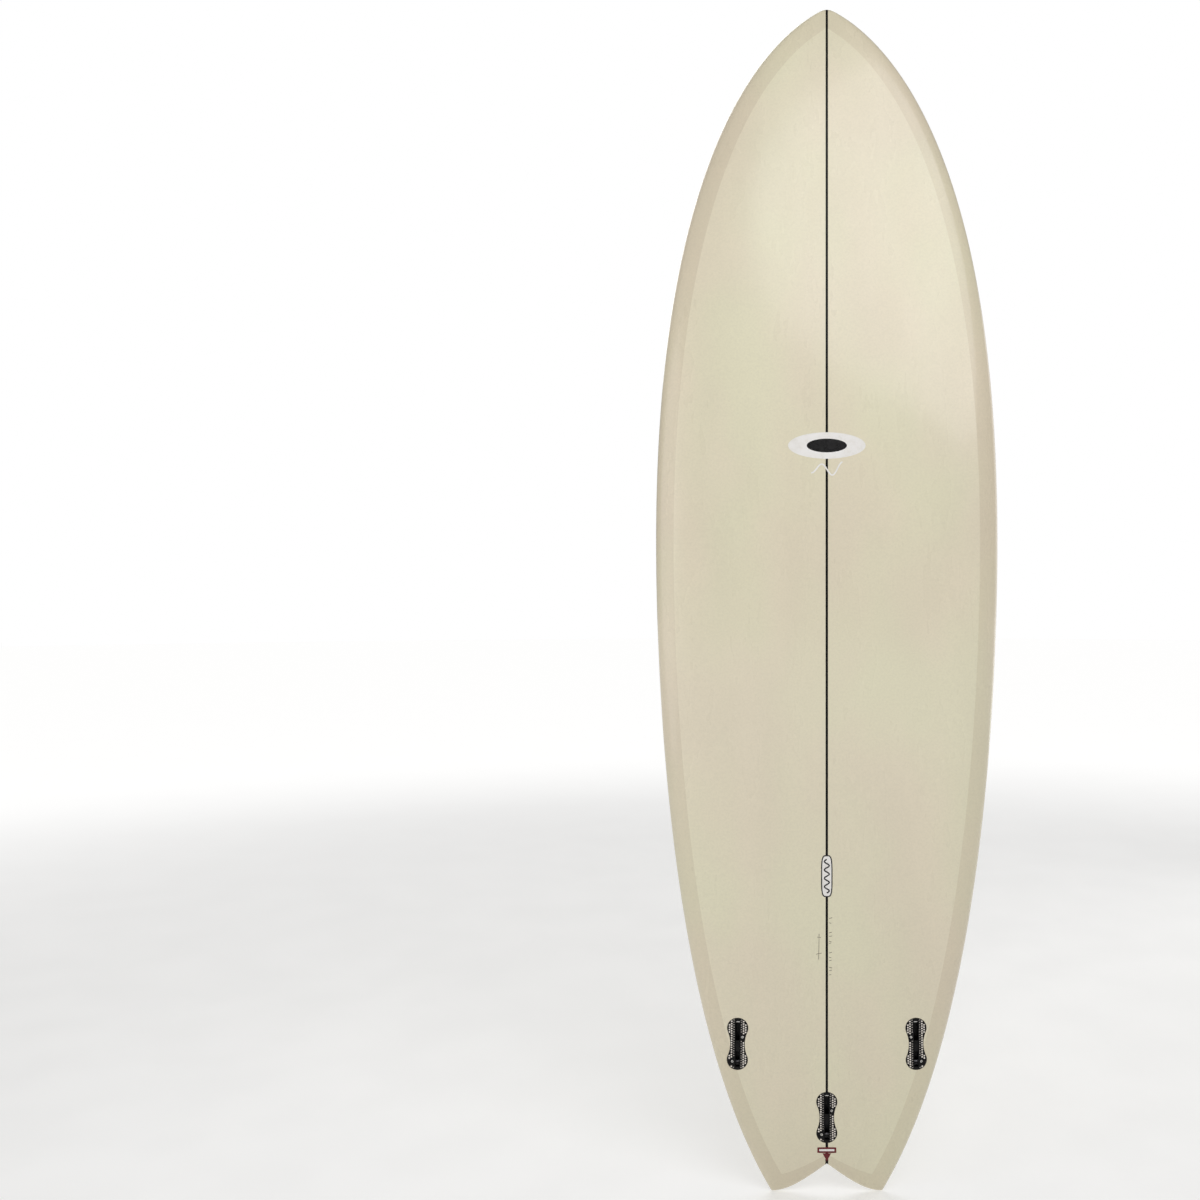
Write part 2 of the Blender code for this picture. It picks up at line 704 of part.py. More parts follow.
def add_decal(name, centre_z, size, deck, look):
    """A thin oblong plate that follows one face of the board across the stringer."""
    across, along = 5, 3
    bm = bmesh.new()
    layers = []
    for height in (GAP, GAP + DECAL):
        layer = []
        for b in np.linspace(-0.5, 0.5, along):
            line = []
            for a in np.linspace(-0.5, 0.5, across):
                point = point_at(a * size[0], centre_z + b * size[1], deck)
                point.y += -height if deck else height
                line.append(bm.verts.new(point))
            layer.append(line)
        layers.append(layer)
    for low in layers:
        for i in range(along - 1):
            for j in range(across - 1):
                bm.faces.new((low[i][j], low[i][j + 1], low[i + 1][j + 1], low[i + 1][j]))
    rim = [(0, j) for j in range(across)] + [(i, across - 1) for i in range(1, along)]
    rim += [(along - 1, j) for j in range(across - 2, -1, -1)] + [(i, 0) for i in range(along - 2, 0, -1)]
    for n, (i, j) in enumerate(rim):
        p, q = rim[(n + 1) % len(rim)]
        bm.faces.new((layers[0][i][j], layers[0][p][q], layers[1][p][q], layers[1][i][j]))
    add_object(name, bm, look)


# ---------------------------------------------------------------- the whole board


def main():
    for obj in list(bpy.data.objects):
        bpy.data.objects.remove(obj)
    looks = {
        "foam": material("white_foam", (0.84, 0.80, 0.68), 0.9),
        "stringer": material("black_stringer", (0.01, 0.01, 0.01), 0.5),
        "glass": material("cream_laminate", (0.70, 0.63, 0.47), 0.35),
        "box": material("black_plastic", (0.012, 0.012, 0.013), 0.4),
        "steel": material("stainless_steel", (0.62, 0.62, 0.60), 0.28, 1.0),
        "rubber": material("grey_rubber", (0.08, 0.08, 0.08), 0.8),
        "white": material("white_print", (0.86, 0.86, 0.84), 0.4),
        "red": material("red_print", (0.30, 0.01, 0.02), 0.4),
    }
    cores = add_core(looks["foam"], looks["stringer"])
    skins = [
        laminate("bottom_laminate", BOTTOM_PLIES, looks["glass"]),
        laminate("deck_laminate", DECK_PLIES, looks["glass"]),
    ]
    left, right, stringer = cores
    touched = {
        "left": [left, *skins],
        "right": [right, *skins],
        "center": [left, right, stringer, skins[0]],
    }
    for side, solids in touched.items():
        for pocket in add_fin_box(side, looks):
            for solid in solids:
                combine(solid, pocket, "DIFFERENCE")
    pocket = add_leash_plug(looks)
    for solid in (right, *skins):
        combine(solid, pocket, "DIFFERENCE")
    add_decal("deck_badge", BADGE_Z, BADGE, True, looks["white"])
    add_decal("bottom_badge", BADGE_Z, BADGE, False, looks["white"])
    add_decal("stringer_mark", MARK_Z, MARK, False, looks["white"])
    add_decal("tail_label", LABEL_Z, LABEL, False, looks["red"])


main()
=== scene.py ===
"""A swallow-tail mid-length surfboard, standing upright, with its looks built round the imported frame.

X runs across the board, Z from tail to nose, and the deck faces -Y. The two laminates become one polished
skin in four zones: the field of each face, the lapped cloth round the rails and the stringer's line.
"""

import json
from math import cos, pi, radians, sin

import bmesh
import bpy
import numpy as np
from mathutils import Matrix, Vector


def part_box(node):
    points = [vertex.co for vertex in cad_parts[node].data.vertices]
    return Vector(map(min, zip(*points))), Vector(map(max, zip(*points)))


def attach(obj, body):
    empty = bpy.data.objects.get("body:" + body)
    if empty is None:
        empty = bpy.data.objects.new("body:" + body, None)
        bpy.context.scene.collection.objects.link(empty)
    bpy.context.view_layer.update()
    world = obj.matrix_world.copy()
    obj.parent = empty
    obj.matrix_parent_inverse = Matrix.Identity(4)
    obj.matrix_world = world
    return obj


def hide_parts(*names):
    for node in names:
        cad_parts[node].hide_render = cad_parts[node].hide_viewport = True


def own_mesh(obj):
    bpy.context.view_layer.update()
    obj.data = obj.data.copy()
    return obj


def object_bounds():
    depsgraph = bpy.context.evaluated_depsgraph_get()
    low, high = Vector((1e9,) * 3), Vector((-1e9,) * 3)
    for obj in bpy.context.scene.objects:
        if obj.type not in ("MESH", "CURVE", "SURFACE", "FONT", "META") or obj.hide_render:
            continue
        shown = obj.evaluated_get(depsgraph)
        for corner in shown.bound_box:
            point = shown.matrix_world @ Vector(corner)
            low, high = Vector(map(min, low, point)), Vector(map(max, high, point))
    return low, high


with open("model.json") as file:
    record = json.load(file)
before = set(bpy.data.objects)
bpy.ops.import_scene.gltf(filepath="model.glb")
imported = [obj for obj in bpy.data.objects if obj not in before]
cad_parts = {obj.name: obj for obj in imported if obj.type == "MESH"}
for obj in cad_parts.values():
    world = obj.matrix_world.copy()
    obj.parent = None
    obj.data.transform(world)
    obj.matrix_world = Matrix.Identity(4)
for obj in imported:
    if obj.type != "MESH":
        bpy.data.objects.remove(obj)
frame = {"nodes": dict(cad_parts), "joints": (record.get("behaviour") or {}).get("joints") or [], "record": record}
CAD_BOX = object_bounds()

MM = 0.001

# The board's outline, side view and section, as its CAD solids have them
LENGTH = 2.032
WIDTH = 0.5715
THICKNESS = 0.073
NOSE_ROUNDNESS = 0.008
NOSE_FULLNESS = 0.107
WIDE_POINT = 0.924
HIP = 1.144
TAIL_CURVE = (1.729, 0.268)
TAIL_HALF_WIDTH = 0.094
NOTCH_DEPTH = 0.048
NOTCH_POWER = 1.9
ROCKER_FLAT_Z = 0.900
NOSE_LIFT = 0.115
NOSE_LIFT_POWER = 2.6
TAIL_LIFT = 0.052
TAIL_LIFT_POWER = 2.3
THICKEST_Z = 1.000
NOSE_THICKNESS = 0.013
NOSE_FOIL_POWER = 2.4
TAIL_THICKNESS = 0.016
TAIL_FOIL_POWER = 2.5
NOSE_EDGE = 0.008
TAIL_EDGE = 0.006
DECK_ROLL = 0.090
DECK_ROLL_POWER = 2.6
APEX_MIDDLE = 0.42
APEX_NOSE = 0.50
APEX_TAIL = 0.34
DECK_POWER = 2.2
BOTTOM_POWER = 8.0
BOTTOM_POWER_TAIL = 18.0
TAIL_ZONE = 0.160

# The skin: its thickness, the stringer's line, and the width of each lap at the nose, middle and tail
SKIN = 1.4 * MM
STRINGER_HALF = 2.0 * MM
LAPS = {"deck": (0.057, 0.021, 0.026), "bottom": (0.0365, 0.032, 0.030)}
LAP_ENDS = {"deck": 0.768, "bottom": 0.830}
LAP_NARROW = 1.250
LAP_FADE = 2.3

# Fin boxes, in their own frame: X across, Y out of the bottom, Z towards the nose
BOX_LENGTH = 90 * MM
LOBE_RADIUS = 17.5 * MM
WAIST = 24 * MM
FLANGE = 2.4 * MM
PROUD = 0.2 * MM
BODY_HALF_WIDTH = 9 * MM
BODY_HALF_LENGTH = 42 * MM
BODY_DEPTH = 17.5 * MM
SLOT_HALF_WIDTH = 3.4 * MM
SLOT_FLOOR = 14.5 * MM
FRONT_CAVITY = (5.0 * MM, 40.0 * MM)
REAR_CAVITY = (-39.5 * MM, -13.7 * MM)
BRIDGE_DEPTH = 2.2 * MM
HOOK_PIN_AT = (-7.0 * MM, 36.0 * MM)
HOOK_PIN_RADIUS = 1.5 * MM
HOOK_PIN_HALF = 6.0 * MM
ROLLER_AT = (-8.0 * MM, -33.0 * MM)
ROLLER_RADIUS = 2.2 * MM
ROLLER_HALF = 4.6 * MM
SCREWS = {"front": (8.5 * MM, 11.7 * MM), "rear": (-8.9 * MM, -30.6 * MM)}
HANDS = {"left": 1, "right": -1, "center": -1}
SCREW_LEAN = radians(18)
SCREW_RADIUS = 2.5 * MM
SCREW_LENGTH = 6.5 * MM
SCREW_BORE_DEPTH = 11 * MM
THREAD_PITCH = 0.8 * MM
THREAD_DEPTH = 0.3 * MM
BOSS_RADIUS = 5.2 * MM
CAP_RADIUS = 4.4 * MM
HEX_ACROSS = 2.5 * MM
HEX_DEPTH = 2.2 * MM
PAD_LENGTH = 3.4 * MM
FACE_MOUNT_AT = (11 * MM, 27.5 * MM)
FIT = 0.3 * MM
CELL_PITCH = 4.1 * MM
CELL_ACROSS = 2.7 * MM
CELL_FIRST_COLUMN = 6.4 * MM
CELL_RIM = 0.45 * MM
CELL_TO_BOSS = 1.6 * MM
CELL_RESIN_TOP = {"outer": 0.15 * MM, "inner": 1.5 * MM}

# Leash plug, in its own frame: X across, Y out of the deck, Z towards the nose
PLUG_RADIUS = 12.6 * MM
PLUG_FLANGE = 1.6 * MM
PLUG_BODY_RADIUS = 10.8 * MM
PLUG_DEPTH = 14.3 * MM
CUP_RADIUS = 8.0 * MM
CUP_DEPTH = 12.0 * MM
CUP_CORNER = 4.0 * MM
LEASH_PIN_RADIUS = 1.6 * MM
LEASH_PIN_DEPTH = 4.5 * MM
LEASH_PIN_HALF = 10.2 * MM
LEASH_PIN_TURN = radians(2)
RIM_MOUNT_Z = 10.3 * MM

# The skin's holes for the fittings: from under it to above it, and their room round a fin box
MOUTH = (-4 * MM, 6 * MM)
MOUTH_GROW = 0.15 * MM

# Printed marks
PRINT = 0.15 * MM
PRINT_LIFT = 0.05 * MM

# Studio. Each lamp is (name, place, target, size, power) for the bottom, and turned half round for the deck
CAMERA_AT = (0, 2.0, 1.0006)
CAMERA_LENS = 36.4
CAMERA_SHIFT = -0.189
FLOOR_RADIUS = 30.0
SKY = 0.26
LAMPS = (
    ("key", (-0.9, 2.2, 3.1), (0, 0, 1.8), 2.7, 41),
    ("side", (2.1, 1.5, 1.3), (0.1, 0, 0.6), 2.2, 12),
)


# ---------------------------------------------------------------- the board's surface


def bezier(points, count=400):
    t = np.linspace(0, 1, count)[:, None]
    p = np.asarray(points, float)
    return (1 - t) ** 3 * p[0] + 3 * (1 - t) ** 2 * t * p[1] + 3 * (1 - t) * t**2 * p[2] + t**3 * p[3]


def template():
    """The right rail from the nose tip to the tail tip, as (z, x) points."""
    half = WIDTH / 2
    nose = bezier([(0, 0), (0, NOSE_ROUNDNESS), (NOSE_FULLNESS, half), (WIDE_POINT, half)])
    tail = bezier([(WIDE_POINT, half), (HIP, half), TAIL_CURVE, (LENGTH, TAIL_HALF_WIDTH)])
    points = np.vstack([nose, tail[1:]])
    points[:, 0] = LENGTH - points[:, 0]
    return points


def lap_width(depth, lap):
    """Width of a lap at this distance from the nose tip: (at the nose, in the middle, at the tail)."""
    at_nose, middle, at_tail = lap
    nose = np.clip(1 - depth / LAP_NARROW, 0, 1) ** LAP_FADE
    tail = np.clip((depth - LAP_NARROW) / (LENGTH - LAP_NARROW), 0, 1) ** 1.5
    return middle + (at_nose - middle) * nose + (at_tail - middle) * tail


def inset_template(inset):
    """The template moved inwards, by one distance or by the widths of a lap."""
    points = template()
    tangent = np.gradient(points, axis=0)
    tangent /= np.linalg.norm(tangent, axis=1)[:, None]
    inwards = np.stack([tangent[:, 1], -tangent[:, 0]], axis=1)
    depth = LENGTH - points[:, 0]
    distance = lap_width(depth, inset) if isinstance(inset, tuple) else np.full(len(points), inset)
    moved = points - inwards * distance[:, None]
    first = np.nonzero(moved[:, 1] <= 0)[0]
    if len(first):
        a, b = moved[first[-1]], moved[first[-1] + 1]
        tip = a + (b - a) * (0 - a[1]) / (b[1] - a[1])
        moved = np.vstack([tip, moved[first[-1] + 1 :]])
    return moved[::-1]


TEMPLATES = {}


def half_width(z, inset=0.0):
    if inset not in TEMPLATES:
        TEMPLATES[inset] = inset_template(inset)
    z_at, x_at = TEMPLATES[inset].T
    return np.interp(z, z_at, x_at, right=0.0)


def nose_z(inset=0.0):
    half_width(0.0, inset)
    return TEMPLATES[inset][-1, 0]


def lift(z):
    nose = np.clip((z - ROCKER_FLAT_Z) / (LENGTH - ROCKER_FLAT_Z), 0, 1)
    tail = np.clip((ROCKER_FLAT_Z - z) / ROCKER_FLAT_Z, 0, 1)
    return NOSE_LIFT * nose**NOSE_LIFT_POWER + TAIL_LIFT * tail**TAIL_LIFT_POWER


def foil(z):
    nose = np.clip((z - THICKEST_Z) / (LENGTH - THICKEST_Z), 0, 1)
    tail = np.clip((THICKEST_Z - z) / THICKEST_Z, 0, 1)
    nose_loss = (THICKNESS - NOSE_THICKNESS) * nose**NOSE_FOIL_POWER
    return THICKNESS - nose_loss - (THICKNESS - TAIL_THICKNESS) * tail**TAIL_FOIL_POWER


def apex_share(z):
    nose = np.clip((z - THICKEST_Z) / (LENGTH - THICKEST_Z), 0, 1)
    tail = np.clip((THICKEST_Z - z) / THICKEST_Z, 0, 1)
    return APEX_MIDDLE + (APEX_NOSE - APEX_MIDDLE) * nose**2 + (APEX_TAIL - APEX_MIDDLE) * tail**2


def bottom_power(z):
    tail = np.clip((THICKEST_Z - z) / THICKEST_Z, 0, 1)
    return BOTTOM_POWER + (BOTTOM_POWER_TAIL - BOTTOM_POWER) * tail**2


def rounded(distance, reach, power=2.0):
    """0 at an edge, rising to 1 at the given reach from it."""
    near = np.clip(1 - distance / reach, 0, 1)
    return np.sqrt(1 - near**power)


def notch_z(x, inset=0.0):
    """Height of the trailing edge, from the crotch of the tail at x = 0 out to a tip."""
    near = np.clip(1 - np.abs(x) / TAIL_HALF_WIDTH, 0, 1)
    slope = NOTCH_DEPTH * NOTCH_POWER / TAIL_HALF_WIDTH * near ** (NOTCH_POWER - 1)
    return NOTCH_DEPTH * near**NOTCH_POWER + inset * np.sqrt(1 + slope**2)


def surface(row, u, deck, inset=0.0):
    """Points of one face. row is 0 at the nose tip, 1 where the tail zone starts and 2 at its edge.

    u is the share of the half width, 0 at the stringer and 1 at the rail. inset moves the face inwards.
    """
    row, u = np.broadcast_arrays(np.asarray(row, float), np.asarray(u, float))
    tip = nose_z(inset)
    body = np.clip(row, 0, 1)
    tail = np.clip(row - 1, 0, 1)
    edge_z = notch_z(u * TAIL_HALF_WIDTH, inset)
    z = (1 - tail) * (tip + (TAIL_ZONE - tip) * body) + tail * edge_z
    x = u * half_width(z, inset)
    ends = rounded(tip - z, NOSE_EDGE) * rounded(z - edge_z, TAIL_EDGE)
    thick, share = foil(z), apex_share(z)
    apex_y = -lift(z) - share * thick
    if deck:
        side = np.sqrt(np.clip(1 - u**DECK_POWER, 0, 1)) * rounded(z - edge_z, DECK_ROLL, DECK_ROLL_POWER)
        y = apex_y - ends * side * ((1 - share) * thick - inset)
    else:
        side = np.sqrt(np.clip(1 - u ** bottom_power(z), 0, 1))
        y = apex_y + ends * side * (share * thick - inset)
    return np.stack([x, y, z], axis=-1)


def row_at(z):
    return (LENGTH - z) / (LENGTH - TAIL_ZONE)


def points_at(x, z, deck):
    """The surface points of one face over (x, z)."""
    u = np.abs(x) / half_width(z)
    edge_z = notch_z(u * TAIL_HALF_WIDTH)
    rows = np.where(z >= TAIL_ZONE, row_at(z), 1 + (TAIL_ZONE - z) / (TAIL_ZONE - edge_z))
    return np.stack([x, surface(rows, u, deck)[..., 1], z], axis=-1)


def on_board(x, z, deck, height):
    """Points over (x, z), at a height above one face."""
    x, z = np.broadcast_arrays(np.asarray(x, float), np.asarray(z, float))
    step = 3 * MM
    across = points_at(x + step, z, deck) - points_at(x - step, z, deck)
    along = points_at(x, z + step, deck) - points_at(x, z - step, deck)
    out = np.cross(along, across) * (-1 if deck else 1)
    out /= np.linalg.norm(out, axis=-1, keepdims=True)
    return points_at(x, z, deck) + out * height


# ---------------------------------------------------------------- rows and columns of the skin


def board_rows():
    """Rows from the nose tip to the trailing edge, closer at both ends, with one at each end of a lap."""
    laps = [row_at(nose_z(lap)) for lap in LAPS.values()] + [1 + end for end in LAP_ENDS.values()]
    nose = row_at(LENGTH - 0.030 * np.linspace(0, 1, 16) ** 2)
    body = np.linspace(row_at(LENGTH - 0.036), 1, 170)
    tail = 1 + 1 - (1 - np.linspace(0, 1, 44)[1:]) ** 1.7
    plain = np.concatenate([nose, body, tail])
    near = np.min(np.abs(plain[:, None] - np.array(laps)[None, :]), axis=1)
    return np.sort(np.concatenate([plain[near > 0.0015], laps]))


FIELD_CELLS = 18
RAIL_CELLS = 22
FACE_CELLS = 1 + FIELD_CELLS + RAIL_CELLS


def columns(rows, face):
    """u of each column: the stringer's line, the field inside the lap, then the lap out to the rail."""
    lap = LAPS[face]
    z_middle = surface(rows, 0.0, True)[:, 2]
    z_rail = surface(rows, 1.0, True)[:, 2]
    level = np.where(rows > 1, z_rail, z_middle)
    width = np.maximum(half_width(level), 1e-6)
    line = np.minimum(STRINGER_HALF / width, 0.6)
    blend = np.clip((rows - 1.85) / 0.15, 0, 1)
    edge = np.maximum(half_width(level, lap) / width, line)
    edge = edge * (1 - blend) + 0.75 * blend
    shares = [line + (edge - line) * s for s in np.linspace(0, 1, FIELD_CELLS + 1)]
    rail = [1 - (1 - edge) * (1 - s) ** 2 for s in np.linspace(0, 1, RAIL_CELLS + 1)[1:]]
    return np.stack([np.zeros_like(line)] + shares + rail, axis=1)


def ring_layout():
    """(face, side, column) of each point round a row: deck right, bottom right, bottom left, deck left."""
    last = FACE_CELLS
    ring = [("deck", 1, j) for j in range(last)] + [("bottom", 1, j) for j in range(last, 0, -1)]
    ring += [("bottom", -1, j) for j in range(last)] + [("deck", -1, j) for j in range(last, 0, -1)]
    return ring


def cell_of(ring_index):
    """(face, column) of the cell that starts at this point of the ring."""
    quarter, step = divmod(ring_index, FACE_CELLS)
    face = "deck" if quarter in (0, 3) else "bottom"
    return face, step if quarter in (0, 2) else FACE_CELLS - 1 - step


def grid(rows, inset):
    u = {face: columns(rows, face) for face in LAPS}
    ring = []
    for face, side, j in ring_layout():
        ring.append(surface(rows, u[face][:, j], face == "deck", inset) * (side, 1, 1))
    return np.stack(ring, axis=1)


def zone(row, face, column):
    """Which piece of the skin a cell belongs to."""
    if column == 0:
        return "line"
    starts = row_at(nose_z(LAPS[face]))
    inside = column <= FIELD_CELLS and starts - 1e-9 <= row < 1 + LAP_ENDS[face] - 1e-9
    return face if inside else "rail"


# ---------------------------------------------------------------- mesh helpers


def new_object(name, mesh, place=None):
    obj = bpy.data.objects.new(name, mesh)
    bpy.context.scene.collection.objects.link(obj)
    if place is not None:
        obj.matrix_world = place
    return obj


def smooth(mesh, sharp):
    mesh.shade_smooth()
    mesh.set_sharp_from_angle(angle=radians(sharp))


def object_from(name, bm, look=None, place=None, sharp=40):
    bmesh.ops.recalc_face_normals(bm, faces=bm.faces)
    mesh = bpy.data.meshes.new(name)
    bm.to_mesh(mesh)
    bm.free()
    smooth(mesh, sharp)
    if look:
        mesh.materials.append(look)
    return new_object(name, mesh, place)


def mesh_of(obj, sharp=40):
    """The mesh of an object that was only needed to make it."""
    mesh = obj.data
    bpy.data.objects.remove(obj)
    smooth(mesh, sharp)
    return mesh


def combine(obj, cutters, operation):
    """Joins or cuts with solids, which are used up."""
    for cutter in cutters:
        boolean = obj.modifiers.new("cut", "BOOLEAN")
        boolean.operation = operation
        boolean.solver = "EXACT"
        boolean.object = cutter
    graph = bpy.context.evaluated_depsgraph_get()
    made = bpy.data.meshes.new_from_object(obj.evaluated_get(graph))
    obj.modifiers.clear()
    old = obj.data
    obj.data = made
    made.name = old.name
    bpy.data.meshes.remove(old)
    for cutter in cutters:
        bpy.data.objects.remove(cutter)


def bridge(bm, a, b):
    """The faces between two rings with the same number of corners."""
    after = [(i + 1) % len(a) for i in range(len(a))]
    return [bm.faces.new((a[i], a[j], b[j], b[i])) for i, j in enumerate(after)]


def close_solid(bm, rings):
    """A closed solid through rings of corners."""
    bm.faces.new(rings[0])
    bm.faces.new(rings[-1][::-1])
    for a, b in zip(rings, rings[1:]):
        bridge(bm, a, b)


def stacked(outlines):
    """A closed solid through (outline, y) levels, each outline a list of (x, z) with the same count."""
    bm = bmesh.new()
    close_solid(bm, [[bm.verts.new((x, y, z)) for x, z in outline] for outline, y in outlines])
    return bm


def prism(outline, low, high):
    return stacked([(outline, low), (outline, high)])


def block(x, y, z):
    return prism([(x[0], z[0]), (x[1], z[0]), (x[1], z[1]), (x[0], z[1])], *y)


def turned(profile, sides):
    """Turns (radius, height) points about Z. A radius of 0 closes an end."""
    bm = bmesh.new()
    turns = [2 * pi * n / sides for n in range(sides)]
    rings = []
    for r, h in profile:
        if r < 1e-9:
            rings.append([bm.verts.new((0, 0, h))] * sides)
        else:
            rings.append([bm.verts.new((r * cos(a), r * sin(a), h)) for a in turns])
    for a, b in zip(rings, rings[1:]):
        for n in range(sides):
            m = (n + 1) % sides
            corners = list(dict.fromkeys((a[n], a[m], b[m], b[n])))
            if len(corners) > 2:
                bm.faces.new(corners)
    return bm


def cylinder(radius, low, high, sides):
    return turned([(0, low), (radius, low), (radius, high), (0, high)], sides)


def rod(radius, half_length, chamfer, sides=40):
    """A round bar along Z with rounded ends, centred on its origin."""
    r, h = radius - chamfer, half_length - chamfer
    profile = [(0, half_length)]
    profile += [(r + chamfer * sin(a), h + chamfer * cos(a)) for a in np.linspace(0, pi / 2, 5)]
    profile += [(r, -h) for r, h in reversed(profile)]
    return turned(profile, sides)


ALONG_X = Matrix.Rotation(pi / 2, 4, "Y")
ALONG_Y = Matrix.Rotation(-pi / 2, 4, "X")


def spin_to(direction):
    return Vector((0, 0, 1)).rotation_difference(Vector(direction)).to_matrix().to_4x4()


def placed(bm, matrix):
    bmesh.ops.transform(bm, matrix=matrix, verts=bm.verts)
    return bm


def finish_piece(obj, body, node=None):
    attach(obj, body)
    if node:
        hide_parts(node)
    return obj


# ---------------------------------------------------------------- materials


class Look:
    """A node material with a Principled shader, and short ways to wire procedural detail into it."""

    def __init__(self, name, **values):
        self.material = bpy.data.materials.new(name)
        self.material.use_nodes = True
        self.tree = self.material.node_tree
        self.shader = self.tree.nodes["Principled BSDF"]
        self.place = self.tree.nodes.new("ShaderNodeTexCoord").outputs["Object"]
        for socket, value in values.items():
            self.shader.inputs[socket.replace("_", " ")].default_value = value

    def node(self, kind, inputs=(), **settings):
        made = self.tree.nodes.new(kind)
        for key, value in settings.items():
            setattr(made, key, value)
        for key, value in dict(inputs).items():
            self.put(value, made.inputs[key])
        return made

    def put(self, value, socket):
        if isinstance(value, bpy.types.NodeSocket):
            self.tree.links.new(value, socket)
        else:
            socket.default_value = value

    def noise(self, scale, detail=3.0, roughness=0.5, stretch=(1, 1, 1)):
        moved = self.node("ShaderNodeMapping", {"Vector": self.place, "Scale": stretch})
        inputs = {"Vector": moved.outputs[0], "Scale": scale, "Detail": detail, "Roughness": roughness}
        return self.node("ShaderNodeTexNoise", inputs).outputs["Fac"]

    def spread(self, value, low, high, to_low=0.0, to_high=1.0):
        inputs = {"Value": value, "From Min": low, "From Max": high, "To Min": to_low, "To Max": to_high}
        return self.node("ShaderNodeMapRange", inputs, interpolation_type="SMOOTHSTEP").outputs["Result"]

    def math(self, operation, a, b):
        return self.node("ShaderNodeMath", {0: a, 1: b}, operation=operation).outputs[0]

    def mix(self, factor, a, b):
        made = self.node("ShaderNodeMix", data_type="RGBA")
        for index, value in ((0, factor), (6, a), (7, b)):
            self.put(value, made.inputs[index])
        return made.outputs[2]

    def bump(self, height, strength, distance):
        inputs = {"Height": height, "Strength": strength, "Distance": distance}
        return self.node("ShaderNodeBump", inputs).outputs["Normal"]

    def wire(self, **outputs):
        for socket, value in outputs.items():
            self.tree.links.new(value, self.shader.inputs[socket.replace("_", " ")])
        return self.material


def rgb(r, g, b):
    """A display colour from 0 to 255, as the shader's linear colour."""
    return tuple((c / 255) ** 2.2 for c in (r, g, b)) + (1.0,)


def resin_tint(name, colour, shade):
    """Polished cream resin: slow drifts of hue, soft darker pools, a fine mottle and a faint cloth weave."""
    look = Look(name, Coat_Weight=0.6, Coat_Roughness=0.12, Specular_IOR_Level=0.4)

    def tinted(*by):
        return rgb(*(min(255, c * b) for c, b in zip(colour, by)))

    drift = look.spread(look.noise(3.2, 2.0, 0.5, (1.6, 1.0, 1.0)), 0.35, 0.65)
    base = look.mix(drift, tinted(0.990, 1.003, 0.985), tinted(1.008, 0.994, 0.998))
    pooled = look.spread(look.noise(6.5, 2.0, 0.5, (1.0, 1.0, 0.5)), 0.30, 0.80, 0.0, shade)
    base = look.mix(pooled, base, tinted(0.90, 0.90, 0.90))
    mottle = look.spread(look.noise(260.0, 3.0, 0.65), 0.30, 0.75, 0.0, 0.16)
    base = look.mix(mottle, base, tinted(0.80, 0.80, 0.80))
    threads = {"Vector": look.place, "Scale": 260.0, "Distortion": 0.6}
    warp, weft = (look.node("ShaderNodeTexWave", threads, bands_direction=way).outputs["Fac"] for way in "XZ")
    cloth = look.math("MULTIPLY", warp, weft)
    base = look.mix(look.spread(cloth, 0.0, 1.0, 0.0, 0.05), base, tinted(1.06, 1.06, 1.06))
    rubbed = look.spread(look.noise(14.0, 4.0, 0.6, (1.0, 1.0, 0.3)), 0.35, 0.7, 0.24, 0.40)
    wavy = look.math("ADD", look.noise(11.0, 2.0), look.math("MULTIPLY", cloth, 0.004))
    return look.wire(Base_Color=base, Roughness=rubbed, Normal=look.bump(wavy, 0.25, 0.0015))


def stringer_black():
    look = Look("stringer_black", Specular_IOR_Level=0.12, Coat_Weight=0.05, Coat_Roughness=0.12)
    grain = look.noise(60.0, 4.0, 0.6, (12.0, 1.0, 0.4))
    base = look.mix(look.spread(grain, 0.3, 0.7), rgb(5, 4, 6), rgb(12, 11, 13))
    return look.wire(Base_Color=base, Roughness=look.spread(grain, 0.3, 0.7, 0.28, 0.42))


def moulded_black(name, gloss):
    """Glass-filled nylon: a fine spark-eroded grain, and paler scuffs."""
    look = Look(name, Specular_IOR_Level=0.2)
    scuffs = look.spread(look.noise(180.0, 5.0, 0.65), 0.55, 0.8, 0.0, 0.5)
    base = look.mix(scuffs, rgb(10, 9, 12), rgb(30, 29, 33))
    grain = look.noise(2600.0, 2.0, 0.6)
    rough = look.spread(look.noise(240.0, 3.0), 0.3, 0.7, gloss, gloss + 0.18)
    return look.wire(Base_Color=base, Roughness=rough, Normal=look.bump(grain, 0.25, 0.00008))


def cell_resin():
    look = Look("cell_resin", Coat_Weight=0.4, Coat_Roughness=0.1)
    cloudy = look.spread(look.noise(300.0, 3.0, 0.6), 0.3, 0.7)
    base = look.mix(cloudy, rgb(226, 217, 206), rgb(246, 240, 232))
    return look.wire(Base_Color=base, Roughness=look.spread(cloudy, 0.0, 1.0, 0.25, 0.45))


def stainless(name, dark, light, rough_to):
    look = Look(name, Metallic=1.0)
    brushed = look.noise(700.0, 3.0, 0.6, (1.0, 1.0, 0.08))
    base = look.mix(look.spread(brushed, 0.3, 0.7), rgb(*dark), rgb(*light))
    rough = look.spread(brushed, 0.3, 0.7, 0.14, rough_to)
    return look.wire(Base_Color=base, Roughness=rough, Normal=look.bump(brushed, 0.1, 0.00005))


def rubber_pad():
    look = Look("rubber_pad")
    dusty = look.noise(500.0, 4.0, 0.7)
    base = look.mix(look.spread(dusty, 0.35, 0.7), rgb(40, 40, 42), rgb(66, 65, 66))
    rough = look.spread(dusty, 0.3, 0.7, 0.65, 0.85)
    return look.wire(Base_Color=base, Roughness=rough, Normal=look.bump(dusty, 0.3, 0.0001))


